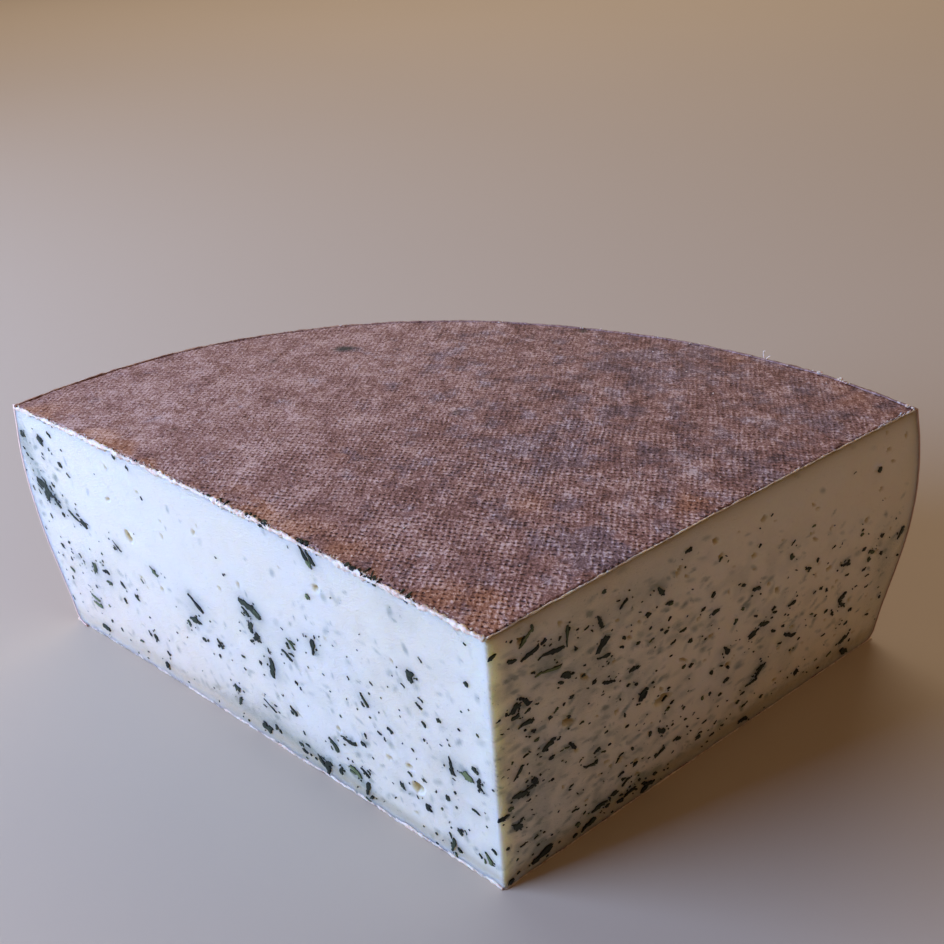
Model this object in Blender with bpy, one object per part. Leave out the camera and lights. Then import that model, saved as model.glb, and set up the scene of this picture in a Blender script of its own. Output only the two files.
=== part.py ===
"""A wedge cut from a wheel of raclette cheese with wild garlic in its paste.

The wheel has a barrel-shaped rim, a slightly crowned top and a flat foot. Two knife cuts
that meet close to the wheel's middle leave one piece with two cut faces. Flakes of wild
garlic stand a little proud of the cut faces, small holes of the paste open in them, and
crumbs of rind cling to their top edges. Units are metres, Z points up, and the origin is
at the middle of the piece's box, at the level of its foot.
"""
import math
import random

import bmesh
import bpy
import numpy as np
from mathutils import Matrix, Vector, noise

# Wheel: rim radii at even steps of height, from the foot to the top edge
RIM_RADII = (0.1534, 0.1566, 0.1594, 0.1569, 0.1500)
WHEEL_HEIGHT = 0.0762
TOP_CROWN = 0.0030
FOOT_ROUND = 0.0035
TOP_ROUND = 0.0016
OUT_OF_ROUND = 0.0019
OUT_OF_ROUND_TURN = math.radians(45.0)

# Cuts: where they meet, at the top and at the foot, and the turn from +Y of their far ends
TIP_TOP = Vector((0.0165, 0.0057))
TIP_FOOT = Vector((0.0183, 0.0108))
CUT_TURN = {"left": math.radians(-44.0), "right": math.radians(56.0)}
CUT_BOW = {"left": 0.0006, "right": 0.0002}
TIP_BEVEL = 0.0005

# Unevenness of the rind: how far it swells, and over what distance
SWELL = 0.0005
SWELL_REACH = 0.035

# Mesh steps along each cut, along the rim, round an edge, up the side and across the top
CUT_STEPS = {"left": 9, "right": 8}
RIM_STEPS = 26
ROUND_STEPS = 3
SIDE_STEPS = 8
TOP_RINGS = (0.97, 0.86, 0.66, 0.44, 0.22)

# Herb flakes: how many lie free on each cut, their length, their rise and their depth
FREE_FLAKES = {"left": 36, "right": 44}
FLAKE_LENGTH = (0.0013, 0.0044)
FLAKE_SLIMNESS = (0.30, 0.62)
FLAKE_RISE = (0.00025, 0.00060)
FLAKE_DEPTH = 0.0009
FLAKE_CORNERS = 5
FLAKE_CLEARANCE = 0.0010
EDGE_MARGIN = 0.0014
FLAKE_TILT = {"left": (62.0, 26.0), "right": (-4.0, 30.0)}
CLUMP_FLAKE_SHARE = (0.6, 1.0)
SIZE_FALL = 2.2
PLACE_TRIES = 400

# Clumps of herb on each cut, in millimetres: distance from the tip, height, spread, flakes
CLUMPS = {
    "left": (
        (157, 50, 2.6, 5), (144, 44, 3.2, 3), (150, 67, 1.5, 1), (148, 56, 1.8, 2),
        (142, 28, 2.0, 2), (136, 28, 1.5, 1), (146, 14, 2.2, 3), (145, 5, 1.6, 2),
        (123, 25, 1.0, 1), (119, 14, 1.5, 2), (111, 40, 1.2, 2), (103, 34, 2.4, 3),
        (96, 36, 1.8, 2), (97, 30, 1.8, 3), (72, 46, 2.4, 4), (73, 39, 1.8, 3),
        (68, 30, 1.2, 3), (61, 39, 2.2, 3), (51, 45, 1.0, 2), (47, 72, 2.2, 4),
        (21, 54, 0.6, 1), (24, 71, 1.4, 2), (12, 33, 0.9, 2), (7, 33, 2.0, 4),
        (4, 9, 2.8, 6), (14, 6, 1.6, 2), (50, 14, 1.2, 2), (42, 9, 2.4, 4),
        (55, 5, 2.4, 4), (78, 7, 4.6, 7), (28, 13, 2.0, 3), (45, 20, 1.6, 2)),
    "right": (
        (10, 66, 0.9, 2), (15, 64, 1.0, 2), (28, 57, 1.6, 4), (19, 55, 1.1, 2),
        (27, 65, 0.8, 1), (33, 64, 0.8, 1), (8, 49, 0.6, 1), (13, 38, 0.9, 1),
        (5, 36, 1.4, 2), (7, 29, 2.0, 4), (5, 19, 1.2, 2), (16, 17, 2.2, 4),
        (26, 13, 1.6, 3), (28, 7, 1.6, 3), (11, 4, 2.6, 4), (37, 48, 2.6, 4),
        (41, 36, 0.6, 1), (45, 61, 2.0, 2), (68, 55, 1.2, 2), (77, 50, 2.2, 2),
        (68, 33, 1.0, 2), (80, 34, 2.2, 4), (82, 17, 2.2, 3), (93, 24, 1.6, 2),
        (113, 25, 1.6, 3), (117, 7, 2.2, 4), (135, 36, 1.2, 2), (132, 28, 1.4, 2),
        (48, 21, 1.8, 2), (112, 37, 0.8, 1)),
}
CLUMP_UNIT = 0.001

# Where herb lies on the left cut: from the tip out to, in a low band up to, and near the rim
LEFT_TIP_PATCH = (0.045, 0.075)
LEFT_TIP_THINS = (0.045, 0.070)
LEFT_LOW_BAND = (0.030, 0.052)
LEFT_RIM_PATCH = (0.135, 0.155)
LEFT_RIM_TOP = (0.066, 0.074)
LEFT_SHARES = {"bare": 0.06, "tip": 0.75, "low": 0.62, "rim": 0.70}
LEFT_TIP_FALL = 0.6

# Where herb lies on the right cut: under a line that starts falling at a distance
RIGHT_LINE_HEIGHT = 0.070
RIGHT_LINE_START = 0.045
RIGHT_LINE_FALL = 0.30
RIGHT_LINE_BLUR = 0.010
RIGHT_THINS = 2.6
RIGHT_BARE = 0.05

# Holes of the paste: number on each cut, length and depth as a share of it
HOLES = {"left": 8, "right": 14}
HOLE_LENGTH = (0.0020, 0.0052)
HOLE_SHAPE = (1.0, 0.5, 0.34)
HOLE_SINK = 0.0002
HOLE_TURN = 0.7

# Crumbs of rind and herb along the top edge of each cut
EDGE_CRUMBS = {"left": 16, "right": 7}
CRUMB_SIZE = (0.0010, 0.0021)
CRUMB_SHAPE = {"width": 0.7, "rise": 0.4, "depth": 0.7}
CRUMB_DROP = 0.0009
CRUMB_CORNERS = 5
CRUMB_MARGIN = 0.006

# Chips: how far their corners stray, and the scale and lift of their foot, waist and top
CORNER_STRAY = 0.3
CORNER_REACH = (0.65, 1.1)
CHIP_FOOT_SCALE = 0.8
CHIP_TOP_SCALE = 0.62
CHIP_WAIST_LIFT = 0.35

# Short step along a cut over which its direction is taken
FRAME_STEP = 0.002

SEED = 20417


def rim_polynomial():
    """Returns the smooth curve through the rim's radii, over height from 0 to 1."""
    steps = np.linspace(0.0, 1.0, len(RIM_RADII))
    return np.polyfit(steps, RIM_RADII, len(RIM_RADII) - 1)


RIM_CURVE = rim_polynomial()


def smooth_step(low, high, value):
    """Returns 0 below low, 1 above high and a soft change between them."""
    share = min(max((value - low) / (high - low), 0.0), 1.0)
    return share * share * (3.0 - 2.0 * share)


def top_height(x, y):
    """Returns the height of the crowned top over a point of the wheel."""
    reach = math.hypot(x, y) / RIM_RADII[-1]
    return WHEEL_HEIGHT + TOP_CROWN * (1.0 - reach * reach)


def rim_point(turn, level, inset=0.0):
    """Returns the rim's point at a turn from +Y and a level from 0 to 1."""
    wave = max(-OUT_OF_ROUND_TURN, min(turn, OUT_OF_ROUND_TURN)) / OUT_OF_ROUND_TURN
    radius = float(np.polyval(RIM_CURVE, level)) - inset - OUT_OF_ROUND * math.sin(math.pi * wave)
    spot = Vector((math.sin(turn), math.cos(turn)))
    swell = noise.noise(Vector((*spot, level)) * RIM_RADII[0] / SWELL_REACH)
    return spot * (radius + SWELL * swell)


def cut_point(side, share, level, inset=0.0):
    """Returns a point of a cut, at a share of the way from the tip to the rim."""
    tip = TIP_FOOT.lerp(TIP_TOP, level)
    far = rim_point(CUT_TURN[side], level, inset)
    chord = far - tip
    inward = Vector((-chord.y, chord.x)).normalized()
    if inward.y < 0.0:
        inward.negate()
    return tip + chord * share + inward * CUT_BOW[side] * 4.0 * share * (1.0 - share)


def outline(level, inset=0.0):
    """Returns the piece's outline at one level: along both cuts and round the rim."""
    left = [cut_point("left", share, level, inset)
            for share in np.linspace(0.0, 1.0, CUT_STEPS["left"] + 1)]
    turns = np.linspace(CUT_TURN["left"], CUT_TURN["right"], RIM_STEPS + 1)
    rim = [rim_point(turn, level, inset) for turn in turns[1:-1]]
    right = [cut_point("right", share, level, inset)
             for share in np.linspace(1.0, 0.0, CUT_STEPS["right"] + 1)]
    return left + rim + right[:-1]


def side_levels():
    """Returns level and inset pairs: the foot's round, the side and the top's round."""
    foot, top = FOOT_ROUND / WHEEL_HEIGHT, TOP_ROUND / WHEEL_HEIGHT
    bends = [math.radians(90.0) * step / ROUND_STEPS for step in range(ROUND_STEPS + 1)]
    pairs = [(foot * (1.0 - math.cos(bend)), FOOT_ROUND * (1.0 - math.sin(bend))) for bend in bends]
    pairs += [(level, 0.0) for level in np.linspace(foot, 1.0 - top, SIDE_STEPS + 1)[1:-1]]
    pairs += [(1.0 - top * (1.0 - math.sin(bend)), TOP_ROUND * (1.0 - math.cos(bend))) for bend in bends]
    return pairs


def add_loop(mesh, points):
    """Adds a closed loop of edges through the points and returns its edges."""
    verts = [mesh.verts.new(point) for point in points]
    return [mesh.edges.new((vert, verts[index - 1])) for index, vert in enumerate(verts)]


def crowned(point, swell=0.0):
    """Lifts a point of the plan to the crowned top."""
    rise = noise.noise(Vector((point.x, point.y, 0.0)) / SWELL_REACH) * swell
    return Vector((point.x, point.y, top_height(point.x, point.y) + rise))


def make_body():
    """Lofts the piece from its foot to its crowned top and returns its mesh object."""
    mesh = bmesh.new()
    loops = []
    for level, inset in side_levels():
        ring = outline(level, inset)
        loops.append(add_loop(mesh, [(p.x, p.y, level * top_height(p.x, p.y)) for p in ring]))
    edge = outline(1.0, TOP_ROUND)
    middle = sum(edge, Vector((0.0, 0.0))) / len(edge)
    for share in TOP_RINGS:
        loops.append(add_loop(mesh, [crowned(middle.lerp(p, share), SWELL * (1.0 - share)) for p in edge]))
    for lower, upper in zip(loops, loops[1:]):
        bmesh.ops.bridge_loops(mesh, edges=lower + upper)
    bmesh.ops.contextual_create(mesh, geom=loops[0])
    crown = bmesh.ops.contextual_create(mesh, geom=loops[-1])["faces"]
    bmesh.ops.poke(mesh, faces=crown)
    bmesh.ops.recalc_face_normals(mesh, faces=mesh.faces)
    bevel_tip(mesh)
    return new_object("cheese_wedge", mesh)


def bevel_tip(mesh):
    """Takes the sharpness off the upright edge where the two cuts meet."""
    def at_tip(vert):
        height = vert.co.z / top_height(*TIP_TOP)
        return (vert.co.xy - TIP_FOOT.lerp(TIP_TOP, min(height, 1.0))).length < TIP_BEVEL
    edges = [edge for edge in mesh.edges if all(at_tip(vert) for vert in edge.verts)]
    bmesh.ops.bevel(mesh, geom=edges, offset=TIP_BEVEL, segments=2, profile=0.5, affect="EDGES")


def new_object(name, mesh):
    """Links a mesh to the scene as a named object and returns it."""
    data = bpy.data.meshes.new(name)
    mesh.to_mesh(data)
    mesh.free()
    body = bpy.data.objects.new(name, data)
    bpy.context.scene.collection.objects.link(body)
    return body


def cut_length(side, level):
    """Returns how long a cut is at a level."""
    return (cut_point(side, 1.0, level) - cut_point(side, 0.0, level)).length


def cut_frame(side, distance, height):
    """Returns a place on a cut: its point, and the ways along the cut, up it and out of it."""
    def spot(far, high):
        level = high / WHEEL_HEIGHT
        flat = cut_point(side, far / cut_length(side, level), level)
        return Vector((flat.x, flat.y, high * top_height(flat.x, flat.y) / WHEEL_HEIGHT))
    point = spot(distance, height)
    along = (spot(distance + FRAME_STEP, height) - point).normalized()
    rise = spot(distance, height + FRAME_STEP) - point
    out = along.cross(rise).normalized()
    if out.y > 0.0:
        out.negate()
    return point, along, out.cross(along), out


def add_chip(mesh, place, size, corners, draw):
    """Adds a flat chip with uneven corners, half sunk in the cut and bevelled on top.

    The size gives its length, width, turn in the face, rise out of it and depth in it.
    """
    point, along, up, out = place
    length, width, turn, rise, depth = size
    spread = [(math.tau * step / corners + draw.uniform(-CORNER_STRAY, CORNER_STRAY),
               draw.uniform(*CORNER_REACH)) for step in range(corners)]
    rotate = Matrix.Rotation(turn, 2)
    layers = []
    for scale, lift in ((CHIP_FOOT_SCALE, -depth), (1.0, rise * CHIP_WAIST_LIFT), (CHIP_TOP_SCALE, rise)):
        ring = []
        for angle, reach in spread:
            oval = Vector((math.cos(angle) * length, math.sin(angle) * width)) * (0.5 * reach * scale)
            flat = rotate @ oval
            ring.append(mesh.verts.new(point + along * flat.x + up * flat.y + out * lift))
        layers.append(ring)
    for lower, upper in zip(layers, layers[1:]):
        for index in range(corners):
            mesh.faces.new((lower[index - 1], lower[index], upper[index], upper[index - 1]))
    mesh.faces.new(layers[0][::-1])
    mesh.faces.new(layers[-1])


def herb_share(side, distance, height):
    """Returns how thickly the herb lies at a place of a cut, from 0 to 1."""
    if side == "left":
        tip = 1.0 - smooth_step(*LEFT_TIP_PATCH, distance)
        tip *= 1.0 - LEFT_TIP_FALL * smooth_step(*LEFT_TIP_THINS, height)
        low = 1.0 - smooth_step(*LEFT_LOW_BAND, height)
        rim = smooth_step(*LEFT_RIM_PATCH, distance) * (1.0 - smooth_step(*LEFT_RIM_TOP, height))
        patches = {"bare": 1.0, "tip": tip, "low": low, "rim": rim}
        return max(LEFT_SHARES[name] * share for name, share in patches.items())
    line = RIGHT_LINE_HEIGHT - RIGHT_LINE_FALL * max(distance - RIGHT_LINE_START, 0.0)
    under = 1.0 - smooth_step(line - RIGHT_LINE_BLUR, line + RIGHT_LINE_BLUR, height)
    return max(RIGHT_BARE, under * (1.0 - RIGHT_THINS * distance))


def flake_size(side, length, draw):
    """Returns the size that add_chip takes, for a flake of a length."""
    mean, spread = FLAKE_TILT[side]
    turn = math.radians(draw.gauss(mean, spread))
    if side == "left":
        turn = math.pi - turn
    return length, length * draw.uniform(*FLAKE_SLIMNESS), turn, draw.uniform(*FLAKE_RISE), FLAKE_DEPTH


def within(side, distance, height, margin):
    """Says whether a place lies on a cut, at least a margin from its edges."""
    level = height / WHEEL_HEIGHT
    if not margin < height < WHEEL_HEIGHT - margin:
        return False
    return margin < distance < cut_length(side, level) - margin


def flake_places(side, draw):
    """Returns the places and lengths of a cut's flakes: the clumps, then the free ones."""
    placed = []
    shortest, longest = FLAKE_LENGTH
    for distance, height, spread, count in CLUMPS[side]:
        for _ in range(count):
            place = [CLUMP_UNIT * (middle + draw.gauss(0.0, spread * 0.6)) for middle in (distance, height)]
            length = draw.uniform(*CLUMP_FLAKE_SHARE) * longest
            if within(side, *place, EDGE_MARGIN + length / 2.0):
                placed.append((*place, length))
    lengths = sorted((shortest + (longest - shortest) * draw.random() ** SIZE_FALL
                      for _ in range(FREE_FLAKES[side])), reverse=True)
    for length in lengths:
        for _ in range(PLACE_TRIES):
            place = draw.uniform(0.0, cut_length(side, 0.5)), draw.uniform(0.0, WHEEL_HEIGHT)
            clear = all(math.dist(place, other[:2]) > (length + other[2]) / 2.0 + FLAKE_CLEARANCE
                        for other in placed)
            inside = within(side, *place, EDGE_MARGIN + length / 2.0)
            if clear and inside and draw.random() < herb_share(side, *place):
                placed.append((*place, length))
                break
    return placed


def make_flakes(gathered, draw):
    """Puts every herb flake into the collection, each as its own closed chip."""
    for side in ("left", "right"):
        for distance, height, length in flake_places(side, draw):
            mesh = bmesh.new()
            size = flake_size(side, length, draw)
            add_chip(mesh, cut_frame(side, distance, height), size, FLAKE_CORNERS, draw)
            gather(gathered, mesh)


def make_crumbs(gathered, draw):
    """Puts the crumbs that cling to the top edges of the cuts into the collection."""
    for side, count in EDGE_CRUMBS.items():
        for _ in range(count):
            distance = draw.uniform(CRUMB_MARGIN, cut_length(side, 1.0) - CRUMB_MARGIN)
            length = draw.uniform(*CRUMB_SIZE)
            width, rise, depth = (length * CRUMB_SHAPE[name] for name in ("width", "rise", "depth"))
            size = length, width, draw.uniform(0.0, math.pi), rise, depth
            mesh = bmesh.new()
            place = cut_frame(side, distance, WHEEL_HEIGHT - CRUMB_DROP)
            add_chip(mesh, place, size, CRUMB_CORNERS, draw)
            gather(gathered, mesh)


def make_holes(gathered, draw):
    """Puts a flattened ball into the collection for each hole that opens in the cuts."""
    for side, count in HOLES.items():
        for _ in range(count):
            while True:
                place = draw.uniform(0.0, cut_length(side, 0.5)), draw.uniform(0.0, WHEEL_HEIGHT)
                if within(side, *place, EDGE_MARGIN + HOLE_LENGTH[1]):
                    break
            point, along, up, out = cut_frame(side, *place)
            length = draw.uniform(*HOLE_LENGTH)
            turn = Matrix.Rotation(draw.uniform(-HOLE_TURN, HOLE_TURN), 3, "Z")
            frame = Matrix((along, up, out)).transposed()
            shape = frame @ turn @ Matrix.Diagonal([length * 0.5 * part for part in HOLE_SHAPE])
            mesh = bmesh.new()
            bmesh.ops.create_icosphere(mesh, subdivisions=1, radius=1.0)
            bmesh.ops.transform(mesh, matrix=shape.to_4x4(), verts=mesh.verts)
            bmesh.ops.translate(mesh, vec=point - out * HOLE_SINK, verts=mesh.verts)
            gather(gathered, mesh)


def gather(gathered, mesh):
    """Moves a small closed mesh into a collection, with its faces turned out."""
    bmesh.ops.recalc_face_normals(mesh, faces=mesh.faces)
    piece = new_object("piece", mesh)
    bpy.context.scene.collection.objects.unlink(piece)
    gathered.objects.link(piece)


def combine(body, operation, fill):
    """Joins a collection to the body, or cuts it out, and removes what it held."""
    gathered = bpy.data.collections.new(operation.lower())
    bpy.context.scene.collection.children.link(gathered)
    fill(gathered)
    change = body.modifiers.new(operation.lower(), "BOOLEAN")
    change.operation = operation
    change.operand_type = "COLLECTION"
    change.collection = gathered
    change.solver = "EXACT"
    bpy.context.view_layer.objects.active = body
    bpy.ops.object.modifier_apply(modifier=change.name)
    for piece in list(gathered.objects):
        bpy.data.objects.remove(piece)
    bpy.data.collections.remove(gathered)


def shells(mesh):
    """Returns the separate shells of a mesh, each as a list of faces."""
    left = set(mesh.faces)
    found = []
    while left:
        shell, reach = [], [left.pop()]
        while reach:
            face = reach.pop()
            shell.append(face)
            near = {other for edge in face.edges for other in edge.link_faces} & left
            left -= near
            reach.extend(near)
        found.append(shell)
    return found


def keep_main_shell(body):
    """Drops loose scraps and the walls of hollows that joining has sealed."""
    mesh = bmesh.new()
    mesh.from_mesh(body.data)
    found = sorted(shells(mesh), key=len)
    spare = [face for shell in found[:-1] for face in shell]
    bmesh.ops.delete(mesh, geom=spare, context="FACES")
    mesh.to_mesh(body.data)
    mesh.free()


def set_on_origin(body):
    """Moves the mesh so that its box stands centred on the origin."""
    points = [vert.co for vert in body.data.vertices]
    low = Vector([min(point[axis] for point in points) for axis in range(3)])
    high = Vector([max(point[axis] for point in points) for axis in range(3)])
    shift = Vector(((low.x + high.x) / 2.0, (low.y + high.y) / 2.0, low.z))
    body.data.transform(Matrix.Translation(-shift))


def paste_material():
    """Returns the pale, slightly waxy finish of the cheese."""
    material = bpy.data.materials.new("cheese paste")
    material.use_nodes = True
    shader = material.node_tree.nodes["Principled BSDF"]
    shader.inputs["Base Color"].default_value = (0.80, 0.77, 0.62, 1.0)
    shader.inputs["Roughness"].default_value = 0.55
    shader.inputs["Metallic"].default_value = 0.0
    return material


def clear_scene():
    """Removes every object that the file opened with."""
    for item in list(bpy.data.objects):
        bpy.data.objects.remove(item, do_unlink=True)


def build():
    """Builds the wedge and leaves it as the scene's one object."""
    clear_scene()
    draw = random.Random(SEED)
    body = make_body()
    combine(body, "DIFFERENCE", lambda gathered: make_holes(gathered, draw))

    def fill(gathered):
        make_flakes(gathered, draw)
        make_crumbs(gathered, draw)
    combine(body, "UNION", fill)
    keep_main_shell(body)
    set_on_origin(body)
    body.data.materials.clear()
    body.data.materials.append(paste_material())
    body.data.shade_flat()


build()
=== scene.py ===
"""Looks of a wedge of washed-rind raclette cheese with wild garlic in its paste.

The wedge is laid out as in its wheel: the wheel's axis is at the origin, +Y points from the
tip towards the rim, and heights are counted from the foot. The last step of each piece
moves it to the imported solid's own frame. Units are metres.
"""
import math
import random

import bpy
import numpy as np
from mathutils import Matrix, Vector, noise


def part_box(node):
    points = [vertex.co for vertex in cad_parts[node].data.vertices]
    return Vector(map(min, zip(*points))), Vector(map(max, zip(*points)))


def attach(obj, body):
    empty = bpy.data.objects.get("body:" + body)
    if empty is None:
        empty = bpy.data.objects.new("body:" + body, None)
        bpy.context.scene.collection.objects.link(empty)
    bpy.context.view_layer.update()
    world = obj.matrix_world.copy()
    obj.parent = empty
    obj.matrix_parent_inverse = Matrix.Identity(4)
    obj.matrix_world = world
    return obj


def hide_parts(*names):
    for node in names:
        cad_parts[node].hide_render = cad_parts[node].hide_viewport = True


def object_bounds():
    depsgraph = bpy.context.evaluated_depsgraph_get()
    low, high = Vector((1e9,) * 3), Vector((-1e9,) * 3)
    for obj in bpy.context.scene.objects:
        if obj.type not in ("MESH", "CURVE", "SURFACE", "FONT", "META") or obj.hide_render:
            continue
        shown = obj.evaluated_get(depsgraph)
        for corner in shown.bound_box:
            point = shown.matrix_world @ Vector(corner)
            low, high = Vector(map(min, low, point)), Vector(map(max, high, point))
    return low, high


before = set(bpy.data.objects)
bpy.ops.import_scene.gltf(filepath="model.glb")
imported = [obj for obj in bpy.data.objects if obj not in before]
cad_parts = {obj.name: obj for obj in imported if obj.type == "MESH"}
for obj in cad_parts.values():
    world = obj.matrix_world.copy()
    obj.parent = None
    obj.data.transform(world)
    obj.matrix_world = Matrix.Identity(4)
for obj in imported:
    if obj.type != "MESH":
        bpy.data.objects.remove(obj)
CAD_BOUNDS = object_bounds()
NODE = "cheese_wedge"
MM = 0.001

# Wheel: rim radii at even steps of height, from the foot to the top edge
RIM_RADII = (0.1534, 0.1566, 0.1594, 0.1569, 0.1500)
WHEEL_HEIGHT = 0.0762
TOP_CROWN = 0.0030
FOOT_ROUND = 0.0035
TOP_ROUND = 0.0011
OUT_OF_ROUND = 0.0019
OUT_OF_ROUND_TURN = math.radians(45.0)
SWELL = 0.0005
SWELL_REACH = 0.035

# Cuts: where they meet, at the top and at the foot, and the turn from +Y of their far ends
TIP_TOP = Vector((0.0165, 0.0057))
TIP_FOOT = Vector((0.0183, 0.0108))
CUT_TURN = {"left": math.radians(-44.0), "right": math.radians(56.0)}
CUT_BOW = {"left": 0.0006, "right": 0.0002}

# Skin of rind over the paste, how thick its pieces are, how far they keep from the rim, how
# far the top one lies under the form and the foot's over it, how raggedly the top one tears,
# and how far the side stands proud
SKIN = 0.0005
RIND_DEPTH = 0.0007
TOP_INSET = 0.0012
FOOT_INSET = 0.0027
TOP_SINK = 0.00012
FOOT_LIFT = 0.00006
TOP_TEAR = 0.00035
SIDE_PROUD = 0.00004

# The way that the knife dragged over the cuts
KNIFE_TURN = math.radians(35.0)

# Paste: mesh steps along the cuts, round the rim, up the side and across the top, how far the
# hidden top lies under the rind, and the share by which the knives' meeting edge is blunted
PASTE_COLUMNS = {"left": 282, "rim": 88, "right": 252}
PASTE_ROWS = 138
CROWN_RINGS = (0.985, 0.86, 0.62, 0.36, 0.08)
CROWN_SINK = 0.0003
TIP_BLUNTING = 0.35

# Mesh steps of the rind and of the torn lips, and how close points are welded
FOOT_STEP = 0.0015
RIM_STEPS = 306
LIP_STEP = 0.00035
LIP_CORNERS = 8
PASTE_WELD = 0.00002
LIP_WELD = 0.000005

# Press cloth: its pitch, the turn of its threads, how it creeps, and how deep it prints
THREAD_PITCH = 0.00122
THREAD_TURN = math.radians(-13.4)
CLOTH_CREEP = 0.55
CLOTH_CREEP_REACH = 0.011
PRINT_DEPTH = 0.00024

# Camera, from the photograph: focal length in pixels of its frame, place, pitch and roll
FRAME_PIXELS = 944
FOCAL_PIXELS = 996.15
SENSOR = 36.0
EYE = Vector((0.01550, -0.12530, 0.19728))
EYE_PITCH = math.radians(32.56)
EYE_ROLL = math.radians(-2.71)

SEED = 20417


# Form of the wheel and of the two cuts

RIM_CURVE = np.polyfit(np.linspace(0.0, 1.0, len(RIM_RADII)), RIM_RADII, len(RIM_RADII) - 1)


def soft_step(low, high, value):
    """Returns 0 below low, 1 above high and a soft change between them."""
    share = np.clip((value - low) / (high - low), 0.0, 1.0)
    return share * share * (3.0 - 2.0 * share)


def top_height(x, y):
    """Returns the height of the crowned top over points of the wheel."""
    return WHEEL_HEIGHT + TOP_CROWN * (1.0 - (x * x + y * y) / RIM_RADII[-1] ** 2)


def rim_change(turn, level):
    """Returns how far the rim departs from a true turned form at a turn and a level."""
    wave = max(-OUT_OF_ROUND_TURN, min(turn, OUT_OF_ROUND_TURN)) / OUT_OF_ROUND_TURN
    place = Vector((math.sin(turn), math.cos(turn), level)) * RIM_RADII[0] / SWELL_REACH
    return SWELL * noise.noise(place) - OUT_OF_ROUND * math.sin(math.pi * wave)


def rim_point(turn, level, inset=0.0):
    """Returns the rim's point at a turn from +Y and a level from 0 to 1."""
    radius = float(np.polyval(RIM_CURVE, level)) - inset + rim_change(turn, level)
    return Vector((math.sin(turn), math.cos(turn))) * radius


def rim_turns(count, proud=0.0):
    """Returns even turns round the rim, from the left cut to the right one."""
    return np.linspace(CUT_TURN["left"] - proud, CUT_TURN["right"] + proud, count)


def cut_line(side, level, inset=0.0):
    """Returns the tip, the chord to the rim and the way into the cheese of a cut."""
    tip = TIP_FOOT.lerp(TIP_TOP, level)
    chord = rim_point(CUT_TURN[side], level, inset) - tip
    inward = Vector((-chord.y, chord.x)).normalized()
    if inward.y < 0.0:
        inward.negate()
    return tip, chord, inward


def cut_points(side, shares, level, inset=0.0):
    """Returns points of a cut, at shares of the way from the tip to the rim."""
    tip, chord, inward = cut_line(side, level, inset)
    shares = np.asarray(shares, float)[:, None]
    bow = CUT_BOW[side] * 4.0 * shares * (1.0 - shares)
    return np.array(tip) + shares * np.array(chord) + bow * np.array(inward)


def cut_length(side, level):
    """Returns how long a cut is at a level."""
    return cut_line(side, level)[1].length


def cut_frame(side, distance, height):
    """Returns a place on a cut: its point, and the ways along the cut, up it and out of it."""
    def spot(far, high):
        level = high / WHEEL_HEIGHT
        x, y = cut_points(side, [far / cut_length(side, level)], level)[0]
        return Vector((x, y, level * top_height(x, y)))
    point, step = spot(distance, height), 0.002
    along = (spot(distance + step, height) - point).normalized()
    out = along.cross(spot(distance, height + step) - point).normalized()
    if out.y > 0.0:
        out.negate()
    return point, along, out.cross(along), out


def corner_inset(height, top=WHEEL_HEIGHT):
    """Returns how far the rim draws in at the round of the foot and of the top edge."""
    low, high = FOOT_ROUND - height, height - top + TOP_ROUND
    inset = FOOT_ROUND - math.sqrt(FOOT_ROUND ** 2 - low ** 2) if 0.0 < low else 0.0
    if high > 0.0:
        inset += TOP_ROUND - math.sqrt(max(TOP_ROUND ** 2 - high ** 2, 0.0))
    return inset


def form_shift():
    """Returns the step from the wheel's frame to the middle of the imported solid's box."""
    spots = [rim_point(turn, level) for level in np.linspace(0.0, 1.0, 21)
             for turn in rim_turns(51)]
    spots += [TIP_FOOT, TIP_TOP]
    low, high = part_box(NODE)
    form = [(min(p[axis] for p in spots) + max(p[axis] for p in spots)) / 2.0 for axis in range(2)]
    return Vector(((low.x + high.x) / 2.0 - form[0], (low.y + high.y) / 2.0 - form[1], low.z))


SHIFT = form_shift()


def cloud(x, y, reach, seed):
    """Returns a smooth random field between -1 and 1 over points of a plane."""
    side = 128
    lattice = np.random.default_rng(seed).uniform(-1.0, 1.0, (side, side))
    x, y = np.asarray(x) / reach + side, np.asarray(y) / reach + side
    column, row = np.floor(x).astype(int), np.floor(y).astype(int)
    across, up = soft_step(0.0, 1.0, x - column), soft_step(0.0, 1.0, y - row)

    def corner(right, high):
        return lattice[(row + high) % side, (column + right) % side]
    low = corner(0, 0) * (1.0 - across) + corner(1, 0) * across
    high = corner(0, 1) * (1.0 - across) + corner(1, 1) * across
    return low * (1.0 - up) + high * up


def clouds(x, y, rows):
    """Returns the sum of random fields, each given by its strength, reach and seed."""
    return sum(strength * cloud(x, y, reach, seed) for strength, reach, seed in rows)


# Modelling helpers

MESH = bpy.ops.mesh
ALL = (MESH.select_all, {"action": "SELECT"})
NONE = (MESH.select_all, {"action": "DESELECT"})
OPEN_EDGES = (MESH.select_non_manifold, {})
TURN_OUT = (MESH.normals_make_consistent, {"inside": False})


def new_object(operator, **settings):
    """Adds an object by an operator and returns it, selected alone."""
    bpy.ops.object.select_all(action="DESELECT")
    operator(**settings)
    return bpy.context.object


def link_object(name, data):
    """Adds an object with its data to the scene."""
    made = bpy.data.objects.new(name, data)
    bpy.context.scene.collection.objects.link(made)
    return made


def read_points(piece):
    """Returns the places of a piece's vertices."""
    points = np.empty(len(piece.data.vertices) * 3, np.float32)
    piece.data.vertices.foreach_get("co", points)
    return points.reshape(-1, 3).astype(float)


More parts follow.
